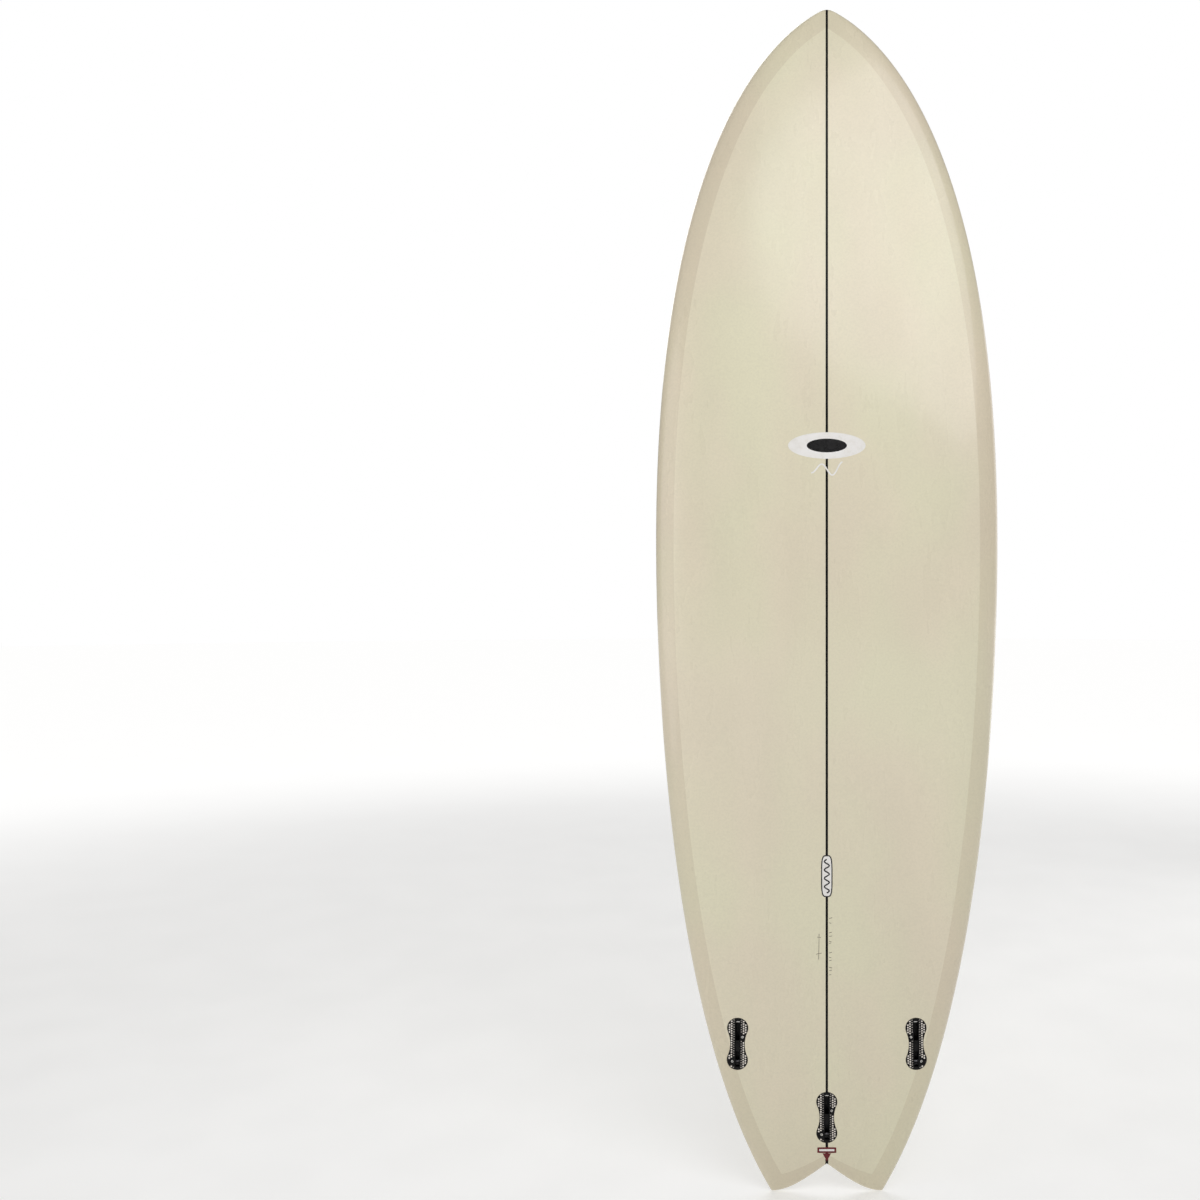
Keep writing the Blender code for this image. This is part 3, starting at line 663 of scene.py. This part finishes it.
def foam_core():
    look = Look("foam_core", Roughness=0.9)
    cells = look.node("ShaderNodeTexVoronoi", {"Vector": look.place, "Scale": 900.0}).outputs["Distance"]
    base = look.mix(look.spread(cells, 0.0, 0.6), rgb(206, 196, 168), rgb(240, 234, 216))
    return look.wire(Base_Color=base, Normal=look.bump(cells, 0.5, 0.0003))


def printed(name, colour, worn):
    look = Look(name, Specular_IOR_Level=0.3, Coat_Weight=0.25, Coat_Roughness=0.15)
    patchy = look.spread(look.noise(90.0, 5.0, 0.65), 0.35, 0.75)
    base = look.mix(patchy, rgb(*colour), rgb(*worn))
    return look.wire(Base_Color=base, Roughness=look.spread(patchy, 0.0, 1.0, 0.26, 0.40))


def pencil():
    look = Look("pencil", Coat_Weight=0.5, Coat_Roughness=0.15)
    grainy = look.spread(look.noise(1500.0, 3.0, 0.7), 0.35, 0.65)
    base = look.mix(grainy, rgb(98, 90, 78), rgb(140, 130, 112))
    return look.wire(Base_Color=base, Roughness=look.spread(grainy, 0.0, 1.0, 0.35, 0.55))


def pale_floor():
    """A pale floor that glows with painted light, weakest near the board and stronger away from it, so that it
    runs into the white backdrop; the glow also lights the board from below.
    """
    look = Look("pale_floor", Emission_Color=(1.0, 1.0, 1.0, 1.0))
    speckle = look.noise(5.0, 3.0)
    base = look.mix(look.spread(speckle, 0.3, 0.7), rgb(218, 218, 217), rgb(222, 222, 221))
    reach = look.node("ShaderNodeVectorMath", {0: look.place}, operation="LENGTH").outputs["Value"]
    # Painted light: the floor's emission rises from 0.34 near the board to 0.80 six metres out
    painted_floor_glow = look.spread(reach, 1.5, 6.0, 0.34, 0.80)
    rough = look.spread(speckle, 0.3, 0.7, 0.75, 0.85)
    return look.wire(Base_Color=base, Roughness=rough, Emission_Strength=painted_floor_glow)


# ---------------------------------------------------------------- the skin


def sheet_faces(cells):
    """Faces of a closed sheet over the marked cells: its outer and inner side, and a wall along its edge."""
    last, around = cells.shape
    below = (last + 1) * around

    def at(i, k):
        return i * around + k % around

    faces = []
    for i, k in zip(*np.nonzero(cells)):
        a, b, c, d = at(i, k), at(i, k + 1), at(i + 1, k + 1), at(i + 1, k)
        faces += [(a, b, c, d), (below + d, below + c, below + b, below + a)]
        edges = [(i, k - 1, a, d), (i, k + 1, b, c), (i - 1, k, a, b), (i + 1, k, d, c)]
        for row, ring, p, q in edges:
            if 0 <= row < last and not cells[row, ring % around]:
                faces.append((p, q, below + q, below + p))
    return faces


def shell(name, rows, layers, wanted, look, fittings):
    """One zone of the skin, with holes for the fittings that lie in it."""
    cells = [[zone(row, *cell_of(k)) == wanted for k in range(4 * FACE_CELLS)] for row in rows[:-1]]
    points = np.concatenate([layer.reshape(-1, 3) for layer in layers])
    mesh = bpy.data.meshes.new(name)
    mesh.from_pydata(points.tolist(), [], sheet_faces(np.array(cells)))
    bm = bmesh.new()
    bm.from_mesh(mesh)
    bpy.data.meshes.remove(mesh)
    loose = [v for v in bm.verts if not v.link_faces]
    bmesh.ops.delete(bm, geom=loose, context="VERTS")
    bmesh.ops.remove_doubles(bm, verts=bm.verts, dist=2e-6)
    bmesh.ops.dissolve_degenerate(bm, edges=bm.edges, dist=2e-6)
    obj = object_from(name, bm, look)
    combine(obj, pocket_mouths(fittings), "DIFFERENCE")
    smooth(obj.data, 30)
    return obj


def pocket_mouths(names):
    """The holes that the fin boxes and the leash plug need in the skin."""
    made = []
    for name in names:
        if name == "leash_plug":
            bm = placed(cylinder(PLUG_RADIUS + FIT, *MOUTH, 72), ALONG_Y)
        else:
            bm = prism(hourglass(MOUTH_GROW), *MOUTH)
        made.append(object_from("mouth", bm, place=PLACES[name]))
    return made


def add_skin():
    rows = board_rows()
    layers = grid(rows, 0.0), grid(rows, SKIN)
    field = resin_tint("cream_field", (230, 222, 197), 0.30)
    lapped = resin_tint("cream_lap", (221, 211, 186), 0.35)
    black = stringer_black()
    sides = ("fin_box_left", "fin_box_right")
    pieces = (
        ("deck_field", "deck", field, ("leash_plug",), "laminate", "deck_laminate"),
        ("bottom_field", "bottom", field, (*sides, "fin_box_center"), "laminate", "bottom_laminate"),
        ("rail_wrap", "rail", lapped, (*sides, "leash_plug"), "laminate", None),
        ("stringer_line", "line", black, ("fin_box_center",), "stringer", None),
    )
    for name, wanted, look, fittings, slot, node in pieces:
        finish_piece(shell(name, rows, layers, wanted, look, fittings), "root", node)


# ---------------------------------------------------------------- fin boxes


def flange_shape():
    lobe_z = BOX_LENGTH / 2 - LOBE_RADIUS
    waist = WAIST / 2
    hollow = (lobe_z**2 + waist**2 - LOBE_RADIUS**2) / (2 * (LOBE_RADIUS - waist))
    return lobe_z, hollow, waist + hollow, np.arctan2(lobe_z, waist + hollow)


def hourglass(grow=0.0):
    """(x, z) outline of a fin box flange: two round lobes joined by hollow sides."""
    lobe_z, hollow, middle_x, meet = flange_shape()
    lobe, side = LOBE_RADIUS + grow, hollow - grow
    outline = []
    for a in np.linspace(-meet, pi + meet, 41):
        outline.append((lobe * cos(a), lobe_z + lobe * sin(a)))
    for a in np.linspace(meet, -meet, 13)[1:-1]:
        outline.append((-middle_x + side * cos(a), side * sin(a)))
    return outline + [(-x, -z) for x, z in outline]


def flange_reach(z):
    """Half width of the flange at z."""
    lobe_z, hollow, middle_x, meet = flange_shape()
    if abs(z) < hollow * sin(meet):
        return middle_x - (hollow**2 - z**2) ** 0.5
    return max(LOBE_RADIUS**2 - (abs(z) - lobe_z) ** 2, 0) ** 0.5


def stadium(half_wide, half_length, steps=12):
    straight = half_length - half_wide
    outline = [(half_wide * cos(a), straight + half_wide * sin(a)) for a in np.linspace(0, pi, steps + 1)]
    return outline + [(-x, -z) for x, z in outline]


def screw_mouth(which, hand):
    """Mouth of a screw bore and the direction that points out of it. hand mirrors a box."""
    x, z = SCREWS[which]
    x *= hand
    lean = SCREW_LEAN if x > 0 else -SCREW_LEAN
    return Vector((x, PROUD, z)), Vector((sin(lean), cos(lean), 0))


def cell_centres(hand, columns=(0, 1, 2)):
    """Centres of the honeycomb's cells on the flange, clear of its rim and of the screw bosses."""
    centres = []
    reach = CELL_ACROSS / 3**0.5 + CELL_RIM
    bosses = [screw_mouth(which, hand)[0] for which in SCREWS]
    for column in columns:
        x = CELL_FIRST_COLUMN + column * CELL_PITCH * 3**0.5 / 2
        for n in range(-12, 13):
            z = (n + 0.5 * (column % 2)) * CELL_PITCH
            inside = all(x + reach <= flange_reach(z + d) for d in (-reach / 2, 0, reach / 2))
            for side in (-1, 1):
                gaps = [((side * x - b.x) ** 2 + (z - b.z) ** 2) ** 0.5 for b in bosses]
                if inside and min(gaps) > BOSS_RADIUS + CELL_TO_BOSS:
                    centres.append((side * x, z))
    return centres


def hexagons(centres, across, low, high):
    """A closed six-sided bar for each centre, in one mesh."""
    bm = bmesh.new()
    radius = across / 3**0.5
    corners = [(radius * cos(n * pi / 3), radius * sin(n * pi / 3)) for n in range(6)]
    for x, z in centres:
        close_solid(bm, [[bm.verts.new((x + dx, y, z + dz)) for dx, dz in corners] for y in (low, high)])
    return bm


def flared_slot(z):
    """The slot's cutter between two values of z, wider at its mouth."""
    slot = SLOT_HALF_WIDTH
    flare = 0.5 * MM
    section = [(-slot, -BRIDGE_DEPTH), (slot, -BRIDGE_DEPTH), (slot, -flare), (slot + flare, PROUD)]
    section += [(slot + flare, 3 * MM), (-slot - flare, 3 * MM), (-slot - flare, PROUD), (-slot, -flare)]
    bm = bmesh.new()
    close_solid(bm, [[bm.verts.new((x, y, end)) for x, y in section] for end in z])
    return bm


def screw_seats(hand):
    """What the two screws add to a housing, bosses with caps, and the bores cut for them."""
    joined, holes = [], []
    half = SCREW_BORE_DEPTH / 2
    depth = SCREW_BORE_DEPTH - 1.2 * MM
    wall = SCREW_RADIUS + FIT
    dome = [(0, -2 * MM), (CAP_RADIUS, -2 * MM), (CAP_RADIUS, PROUD)]
    dome += [(CAP_RADIUS - 0.15 * MM, PROUD + 0.2 * MM), (CAP_RADIUS - 0.6 * MM, PROUD + 0.3 * MM)]
    dome.append((0, PROUD + 0.3 * MM))
    profile = [(0, -depth), (wall, -depth), (wall, -0.1 * MM), (wall + 0.9 * MM, 1.1 * MM)]
    profile += [(wall + 0.9 * MM, 3 * MM), (0, 3 * MM)]
    for which in SCREWS:
        mouth, out = screw_mouth(which, hand)
        boss_at = Matrix.Translation(mouth - out * (half + FLANGE / 2)) @ spin_to(out)
        boss = placed(rod(BOSS_RADIUS, half - FLANGE / 2, 0.3 * MM), boss_at)
        cap = placed(turned(dome, 48), Matrix.Translation((mouth.x, 0, mouth.z)) @ ALONG_Y)
        bore = placed(turned(profile, 40), Matrix.Translation(mouth) @ spin_to(out))
        joined += [object_from("boss", boss), object_from("cap", cap)]
        holes.append(object_from("bore", bore))
    return joined, holes


def slot_holes():
    """The cutters for the slot: its flared channel, its two cavities, and room for the roller and the pin."""
    holes = [object_from("channel", flared_slot((REAR_CAVITY[0], FRONT_CAVITY[1])))]
    slot = (-SLOT_HALF_WIDTH, SLOT_HALF_WIDTH)
    for cavity in (FRONT_CAVITY, REAR_CAVITY):
        holes.append(object_from("cavity", block(slot, (-SLOT_FLOOR, -1 * MM), cavity)))
    y, z = ROLLER_AT
    high, wide = ROLLER_RADIUS + FIT, ROLLER_HALF + FIT
    race = block((-wide, wide), (y - high, y + high), (REAR_CAVITY[0] - FIT, z + high))
    holes.append(object_from("race", race))
    half = HOOK_PIN_HALF + FIT
    bore = cylinder(HOOK_PIN_RADIUS + FIT, -half, half, 32)
    holes.append(object_from("bore", placed(bore, Matrix.Translation((0, *HOOK_PIN_AT)) @ ALONG_X)))
    return holes


def housing_mesh(hand):
    """One fin box: a honeycomb flange with a smooth rim, a slotted body, and two bosses for the screws."""
    levels = ((0, -FLANGE), (0, PROUD - 0.4 * MM), (-0.12 * MM, PROUD - 0.12 * MM), (-0.4 * MM, PROUD))
    housing = object_from("housing", stacked([(hourglass(grow), y) for grow, y in levels]), BLACK)
    body = prism(stadium(BODY_HALF_WIDTH, BODY_HALF_LENGTH), -BODY_DEPTH, -FLANGE / 2)
    joined = [object_from("body", body)]
    cells = hexagons(cell_centres(hand), CELL_ACROSS, -FLANGE - 1 * MM, 3 * MM)
    holes = [object_from("cells", cells)] + slot_holes()
    bosses, bores = screw_seats(hand)
    combine(housing, joined + bosses, "UNION")
    combine(housing, holes + bores, "DIFFERENCE")
    bar = [(x, z - 4.4 * MM) for x, z in stadium(1.3 * MM, 5.5 * MM)]
    raised = prism(bar, -BRIDGE_DEPTH - 0.3 * MM, -BRIDGE_DEPTH + 0.35 * MM)
    combine(housing, [object_from("bar", raised)], "UNION")
    return mesh_of(housing, 35)


def screw_mesh():
    """A socket grub screw with its top at the origin and its thread as rings down its side."""
    root = SCREW_RADIUS - THREAD_DEPTH
    profile = [(0, -SCREW_LENGTH), (root - 0.4 * MM, -SCREW_LENGTH), (root, -SCREW_LENGTH + 0.4 * MM)]
    turns = int((SCREW_LENGTH - 0.9 * MM) / THREAD_PITCH)
    for n in range(turns):
        h = -SCREW_LENGTH + 0.45 * MM + n * THREAD_PITCH
        thread = ((root, 0), (SCREW_RADIUS, 0.35), (SCREW_RADIUS, 0.5), (root, 0.85))
        profile += [(r, h + share * THREAD_PITCH) for r, share in thread]
    profile += [(root + 0.1 * MM, -0.35 * MM), (SCREW_RADIUS - 0.45 * MM, 0), (0, 0)]
    screw = object_from("screw", turned(profile, 36), STEEL)
    socket = hexagons([(0, 0)], HEX_ACROSS, -HEX_DEPTH, 1 * MM)
    combine(screw, [object_from("socket", placed(socket, ALONG_Y.inverted()))], "DIFFERENCE")
    return mesh_of(screw, 32)


def named(items, name):
    return next(item for item in items if item["name"] == name)


def box_place(side):
    """A fin box's frame, from its face mount and its roller's joint: X across, Y outwards, Z to the nose."""
    mount = named(frame["record"]["mounts"], f"fin_box_{side}_face")
    joint = named(frame["joints"], f"fin_box_{side}_roller_push")
    out = Vector(mount["axis"]).normalized()
    along = -Vector(joint["axis"]).normalized()
    across = out.cross(along).normalized()
    mount_x, mount_z = FACE_MOUNT_AT
    centre = Vector(mount["pos_m"]) - across * mount_x * HANDS[side] - out * PROUD - along * mount_z
    return Matrix.Translation(centre) @ Matrix((across, out, along)).transposed().to_4x4()


def plug_place():
    """The leash plug's frame, from its rim mount, turned about its own axis as its pin is."""
    mount = named(frame["record"]["mounts"], "leash_plug_rim")
    out = Vector(mount["axis"]).normalized()
    up = Vector((0, 0, 1))
    along = (up - out * up.dot(out)).normalized()
    across = out.cross(along)
    turn = Matrix.Rotation(LEASH_PIN_TURN, 3, out)
    across, along = turn @ across, turn @ along
    centre = Vector(mount["pos_m"]) - out * PROUD - along * RIM_MOUNT_Z
    return Matrix.Translation(centre) @ Matrix((across, out, along)).transposed().to_4x4()


def pad_mesh():
    """The rubber block behind a roller, with rounded edges, in the fin box's frame."""
    y, z = ROLLER_AT
    back = z - ROLLER_RADIUS - FIT
    bm = block((-ROLLER_HALF, ROLLER_HALF), (y - ROLLER_RADIUS, y + ROLLER_RADIUS), (back - PAD_LENGTH, back))
    bmesh.ops.bevel(bm, geom=bm.edges[:], offset=0.4 * MM, segments=3, affect="EDGES", profile=0.5)
    return mesh_of(object_from("pad", bm, RUBBER))


def add_fin_boxes():
    housings = {hand: housing_mesh(hand) for hand in (1, -1)}
    screw, pad = screw_mesh(), pad_mesh()
    pin = placed(rod(HOOK_PIN_RADIUS, HOOK_PIN_HALF, 0.3 * MM), ALONG_X)
    pin = mesh_of(object_from("pin", pin, STEEL))
    roller = placed(rod(ROLLER_RADIUS, ROLLER_HALF, 0.4 * MM), ALONG_X)
    roller = mesh_of(object_from("roller", roller, DARK_STEEL))
    resin = cell_resin()
    for side, hand in HANDS.items():
        name = "fin_box_" + side
        place = PLACES[name]
        finish_piece(new_object(name + "_housing", housings[hand], place), "root", name)
        for ring, columns in (("outer", (1, 2)), ("inner", (0,))):
            top = PROUD - CELL_RESIN_TOP[ring]
            plugs = hexagons(cell_centres(hand, columns), CELL_ACROSS - 0.06 * MM, -FLANGE + 0.1 * MM, top)
            piece = object_from(f"{name}_{ring}_cell_resin", plugs, resin, place, sharp=30)
            finish_piece(piece, "root")
        held = new_object(name + "_cross_pin", pin, place @ Matrix.Translation((0, *HOOK_PIN_AT)))
        finish_piece(held, "root", name + "_hook_pin")
        moving = new_object(name + "_click_roller", roller, place @ Matrix.Translation((0, *ROLLER_AT)))
        finish_piece(moving, name + "_roller", name + "_roller")
        rubber = new_object(name + "_rubber", pad.copy(), place)
        finish_piece(rubber, "root", name + "_spring_pad")
        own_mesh(rubber)
        for which in SCREWS:
            joint = named(frame["joints"], f"{name}_screw_{which}_turn")
            upright = Matrix.Translation(Vector(joint["pos_m"])) @ spin_to(joint["axis"])
            grub = new_object(f"{name}_grub_screw_{which}", screw, upright)
            finish_piece(grub, f"{name}_screw_{which}", f"{name}_screw_{which}")


# ---------------------------------------------------------------- leash plug


def add_leash_plug():
    place = PLACES["leash_plug"]
    lip, edge, foot = 0.8 * MM, 0.5 * MM, 0.6 * MM
    profile = [(0, -PLUG_DEPTH), (PLUG_BODY_RADIUS - foot, -PLUG_DEPTH)]
    profile += [(PLUG_BODY_RADIUS, -PLUG_DEPTH + foot), (PLUG_BODY_RADIUS, -PLUG_FLANGE)]
    profile.append((PLUG_RADIUS, -PLUG_FLANGE))
    for a in np.linspace(0, pi / 2, 5):
        profile.append((PLUG_RADIUS - edge * (1 - cos(a)), PROUD - edge * (1 - sin(a))))
    for a in np.linspace(0, pi / 2, 7):
        profile.append((CUP_RADIUS + lip * (1 - sin(a)), PROUD - lip * (1 - cos(a))))
    for a in np.linspace(0, pi / 2, 11):
        profile.append((CUP_RADIUS - CUP_CORNER * (1 - cos(a)), -CUP_DEPTH + CUP_CORNER * (1 - sin(a))))
    profile.append((0, -CUP_DEPTH))
    cup = object_from("leash_plug_cup", placed(turned(profile, 72), ALONG_Y), BLACK_GLOSS, place)
    centre = Matrix.Translation((0, -LEASH_PIN_DEPTH, 0)) @ ALONG_X
    bore = cylinder(LEASH_PIN_RADIUS + FIT, -14 * MM, 14 * MM, 32)
    combine(cup, [object_from("bore", placed(bore, centre), place=place)], "DIFFERENCE")
    smooth(cup.data, 35)
    finish_piece(cup, "root", "leash_plug")
    bar = placed(rod(LEASH_PIN_RADIUS, LEASH_PIN_HALF, 0.3 * MM), centre)
    finish_piece(object_from("leash_plug_bar", bar, STEEL, place), "root", "leash_plug_pin")


# ---------------------------------------------------------------- printed marks


def add_patch(name, outline_at, rings, deck, looks, node, sides=96):
    """A thin print that follows the board.

    outline_at(angle, share) gives (x, z), and rings are (share, index of its look), from the middle outwards.
    """
    bm = bmesh.new()
    angles = 2 * pi * np.arange(sides) / sides
    layers = []
    for height in (PRINT_LIFT, PRINT_LIFT + PRINT):
        layer = []
        for share in [0.0] + [share for share, _ in rings]:
            points = on_board(*outline_at(angles, share), deck, height)
            layer.append([bm.verts.new(point) for point in points[: sides if share else 1]])
        layers.append(layer)
    indices = [index for _, index in rings]
    for middle, *circles in layers:
        first = circles[0]
        fan = [bm.faces.new((middle[0], a, b)) for a, b in zip(first, first[1:] + first[:1])]
        bands = [fan] + [bridge(bm, a, b) for a, b in zip(circles, circles[1:])]
        for index, faces in zip(indices, bands):
            for face in faces:
                face.material_index = index
    for face in bridge(bm, layers[0][-1], layers[1][-1]):
        face.material_index = indices[-1]
    patch = object_from(name, bm, sharp=50)
    for look in looks:
        patch.data.materials.append(look)
    return finish_piece(patch, "root", node)


def shrunk(half_wide, half_high, share):
    """Half sizes moved inwards by the same distance on every side, down to a line at a share of 0."""
    lost = (1 - share) * min(half_wide, half_high)
    return half_wide - lost, half_high - lost


def triangle(top_z, half_wide, height):
    """A triangle that points to the tail, round its centre of gravity."""
    corners = np.array([(-half_wide, top_z), (half_wide, top_z), (0.0, top_z - height), (-half_wide, top_z)])
    centre = corners[:3].mean(axis=0)

    def outline_at(angle, share):
        along = np.asarray(angle) / (2 * pi) * 3
        x, z = (np.interp(along, range(4), corners[:, i]) for i in (0, 1))
        return centre[0] + (x - centre[0]) * share, centre[1] + (z - centre[1]) * share

    return outline_at


def ellipse(centre_z, half_wide, half_high):
    def outline_at(angle, share):
        return half_wide * share * np.cos(angle), centre_z + half_high * share * np.sin(angle)

    return outline_at


def rounded_box(centre_z, half_wide, half_high, power=8.0):
    """An oblong with soft corners, as a superellipse."""

    def outline_at(angle, share):
        wide, high = shrunk(half_wide, half_high, share)
        c, s = np.cos(angle), np.sin(angle)
        reach = (np.abs(c) ** power + np.abs(s) ** power) ** (-1 / power)
        return wide * c * reach, centre_z + high * s * reach

    return outline_at


def add_stroke(name, path, wide, deck, look, lift_by=0.0):
    """A thin drawn line that follows the board through (x, z) points."""
    path = np.asarray(path, float)
    run = np.gradient(path, axis=0)
    run /= np.linalg.norm(run, axis=1)[:, None]
    side = np.stack([-run[:, 1], run[:, 0]], axis=1) * wide / 2
    bm = bmesh.new()
    corners = []
    low = PRINT_LIFT + lift_by
    for sign, height in ((-1, low), (1, low), (1, low + PRINT), (-1, low + PRINT)):
        x, z = (path + sign * side).T
        corners.append([bm.verts.new(point) for point in on_board(x, z, deck, height)])
    close_solid(bm, list(zip(*corners)))
    return finish_piece(object_from(name, bm, look, sharp=50), "root")


def swash(centre_z, half_wide, half_high):
    """A plain wavy line lying across the stringer."""
    t = np.linspace(-1, 1, 80)
    return np.stack([half_wide * t, centre_z + half_high * np.sin(1.5 * pi * t) * (1 - 0.3 * t)], axis=1)


def ripple(centre_z, half_wide, half_high, turns):
    """A plain wavy line along the stringer."""
    t = np.linspace(-1, 1, 80)
    return np.stack([half_wide * np.sin(turns * pi * t), centre_z - half_high * t], axis=1)


def node_box(name):
    """The middle height, half width and half height of a printed node."""
    low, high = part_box(name)
    return (low.z + high.z) / 2, (high.x - low.x) / 2, (high.z - low.z) / 2


def add_marks():
    white = printed("white_print", (240, 238, 236), (228, 225, 220))
    black = printed("black_print", (13, 13, 15), (28, 27, 28))
    red = printed("red_print", (108, 10, 26), (90, 8, 22))
    for name, deck in (("deck_badge", True), ("bottom_badge", False)):
        middle, half_wide, half_high = node_box(name)
        rings = [(0.30, 1), (0.52, 1), (0.54, 0), (0.75, 0), (0.9, 0), (1.0, 0)]
        oval = ellipse(middle, half_wide, half_high)
        add_patch(name + "_oval", oval, rings, deck, (white, black), name)
        line = swash(middle - half_high - 17 * MM, 26 * MM, 9 * MM)
        add_stroke(name + "_line", line, 2.4 * MM, deck, white)
    middle, half_wide, half_high = node_box("stringer_mark")
    capsule = rounded_box(middle, half_wide, half_high, 4.0)
    rings = [(0.3, 0), (0.55, 0), (0.80, 0), (0.82, 1), (1.0, 1)]
    add_patch("stringer_capsule", capsule, rings, False, (white, black), "stringer_mark")
    line = ripple(middle, 4 * MM, half_high - 7 * MM, 4)
    add_stroke("stringer_ripple", line, 2.2 * MM, False, black, PRINT)
    middle, half_wide, half_high = node_box("tail_label")
    tag = rounded_box(middle, half_wide, half_high, 14.0)
    rings = [(0.2, 0), (0.36, 0), (0.38, 1), (1.0, 1)]
    add_patch("tail_tag", tag, rings, False, (white, red), "tail_label")
    pennant = triangle(middle - half_high - 0.8 * MM, 7 * MM, 14 * MM)
    add_patch("tail_pennant", pennant, [(0.5, 0), (1.0, 0)], False, (red,), None)


def add_pencil():
    """The shaper's notes beside the stringer, as strokes that spell nothing."""
    lead = pencil()
    beside = -3.8 * MM
    ticks = [(0.473, 5.0, 1.6), (0.466, 3.5, -1.0), (0.449, 4.5, 1.2), (0.443, 5.0, 0.8), (0.435, 4.0, -1.2)]
    ticks += [(0.431, 3.0, 1.0), (0.415, 4.5, 1.4), (0.408, 3.5, -0.8), (0.402, 4.0, 1.0)]
    ticks += [(0.391, 5.0, -1.2), (0.385, 4.5, 1.2), (0.378, 3.5, 0.8)]
    for n, (z, long, lean) in enumerate(ticks):
        path = [(beside, z), (beside - long * MM, z + lean * MM)]
        add_stroke(f"pencil_tick_{n}", path, 0.9 * MM, False, lead)
    lines = [[(0.0135, 0.404), (0.0128, 0.447)], [(0.0085, 0.415), (0.0180, 0.413)]]
    lines.append([(0.0100, 0.441), (0.0160, 0.442)])
    for n, path in enumerate(lines):
        add_stroke(f"pencil_line_{n}", path, 0.8 * MM, False, lead)


# ---------------------------------------------------------------- studio


def add_area_light(name, place, target, size, power):
    light = bpy.data.lights.new(name, "AREA")
    light.shape = "DISK"
    light.size = size
    light.energy = power
    lamp = bpy.data.objects.new(name, light)
    bpy.context.scene.collection.objects.link(lamp)
    lamp.location = place
    lamp.rotation_euler = (target - place).to_track_quat("-Z", "Y").to_euler()
    lamp.visible_camera = False


def add_studio():
    bm = bmesh.new()
    bmesh.ops.create_circle(bm, cap_ends=True, segments=96, radius=FLOOR_RADIUS)
    floor = object_from("floor", bm, pale_floor())
    floor.location.z = CAD_BOX[0].z - 0.5 * MM
    for face, side in (("bottom", 1), ("deck", -1)):
        half_turn = Vector((side, side, 1))
        for name, place, target, size, power in LAMPS:
            place, target = Vector(place) * half_turn, Vector(target) * half_turn
            add_area_light(f"{name}_{face}", place, target, size, power)
    world = bpy.data.worlds.new("studio")
    bpy.context.scene.world = world
    world.use_nodes = True
    nodes, links = world.node_tree.nodes, world.node_tree.links
    sky = nodes["Background"]
    sky.inputs["Color"].default_value = (1.0, 0.985, 0.965, 1.0)
    sky.inputs["Strength"].default_value = SKY
    backdrop = nodes.new("ShaderNodeBackground")
    backdrop.inputs["Color"].default_value = (1.0, 1.0, 1.0, 1.0)
    path = nodes.new("ShaderNodeLightPath")
    mixed = nodes.new("ShaderNodeMixShader")
    links.new(path.outputs["Is Camera Ray"], mixed.inputs[0])
    links.new(sky.outputs[0], mixed.inputs[1])
    links.new(backdrop.outputs[0], mixed.inputs[2])
    links.new(mixed.outputs[0], nodes["World Output"].inputs["Surface"])


def add_camera():
    """Square on to the bottom from 2 m, with the board to the right of the middle of the frame."""
    camera = bpy.data.cameras.new("camera")
    camera.sensor_width = 36.0
    camera.lens = CAMERA_LENS
    camera.shift_x = CAMERA_SHIFT
    holder = bpy.data.objects.new("camera", camera)
    bpy.context.scene.collection.objects.link(holder)
    holder.location = CAMERA_AT
    holder.rotation_euler = (radians(90), 0, radians(180))
    bpy.context.scene.camera = holder


# ---------------------------------------------------------------- the whole scene

add_camera()
bpy.context.scene.view_settings.view_transform = "Standard"
BLACK = moulded_black("black_nylon", 0.34)
BLACK_GLOSS = moulded_black("black_nylon_polished", 0.16)
STEEL = stainless("stainless", (196, 195, 192), (232, 231, 228), 0.30)
DARK_STEEL = stainless("burnished_steel", (78, 78, 82), (112, 111, 114), 0.42)
RUBBER = rubber_pad()
PLACES = {"fin_box_" + side: box_place(side) for side in HANDS}
PLACES["leash_plug"] = plug_place()
add_skin()
add_fin_boxes()
add_leash_plug()
add_marks()
add_pencil()
foam = foam_core()
core = stringer_black()
for node, look in (("foam_core_left", foam), ("foam_core_right", foam), ("stringer", core)):
    frame["nodes"][node].data.materials.clear()
    frame["nodes"][node].data.materials.append(look)
add_studio()
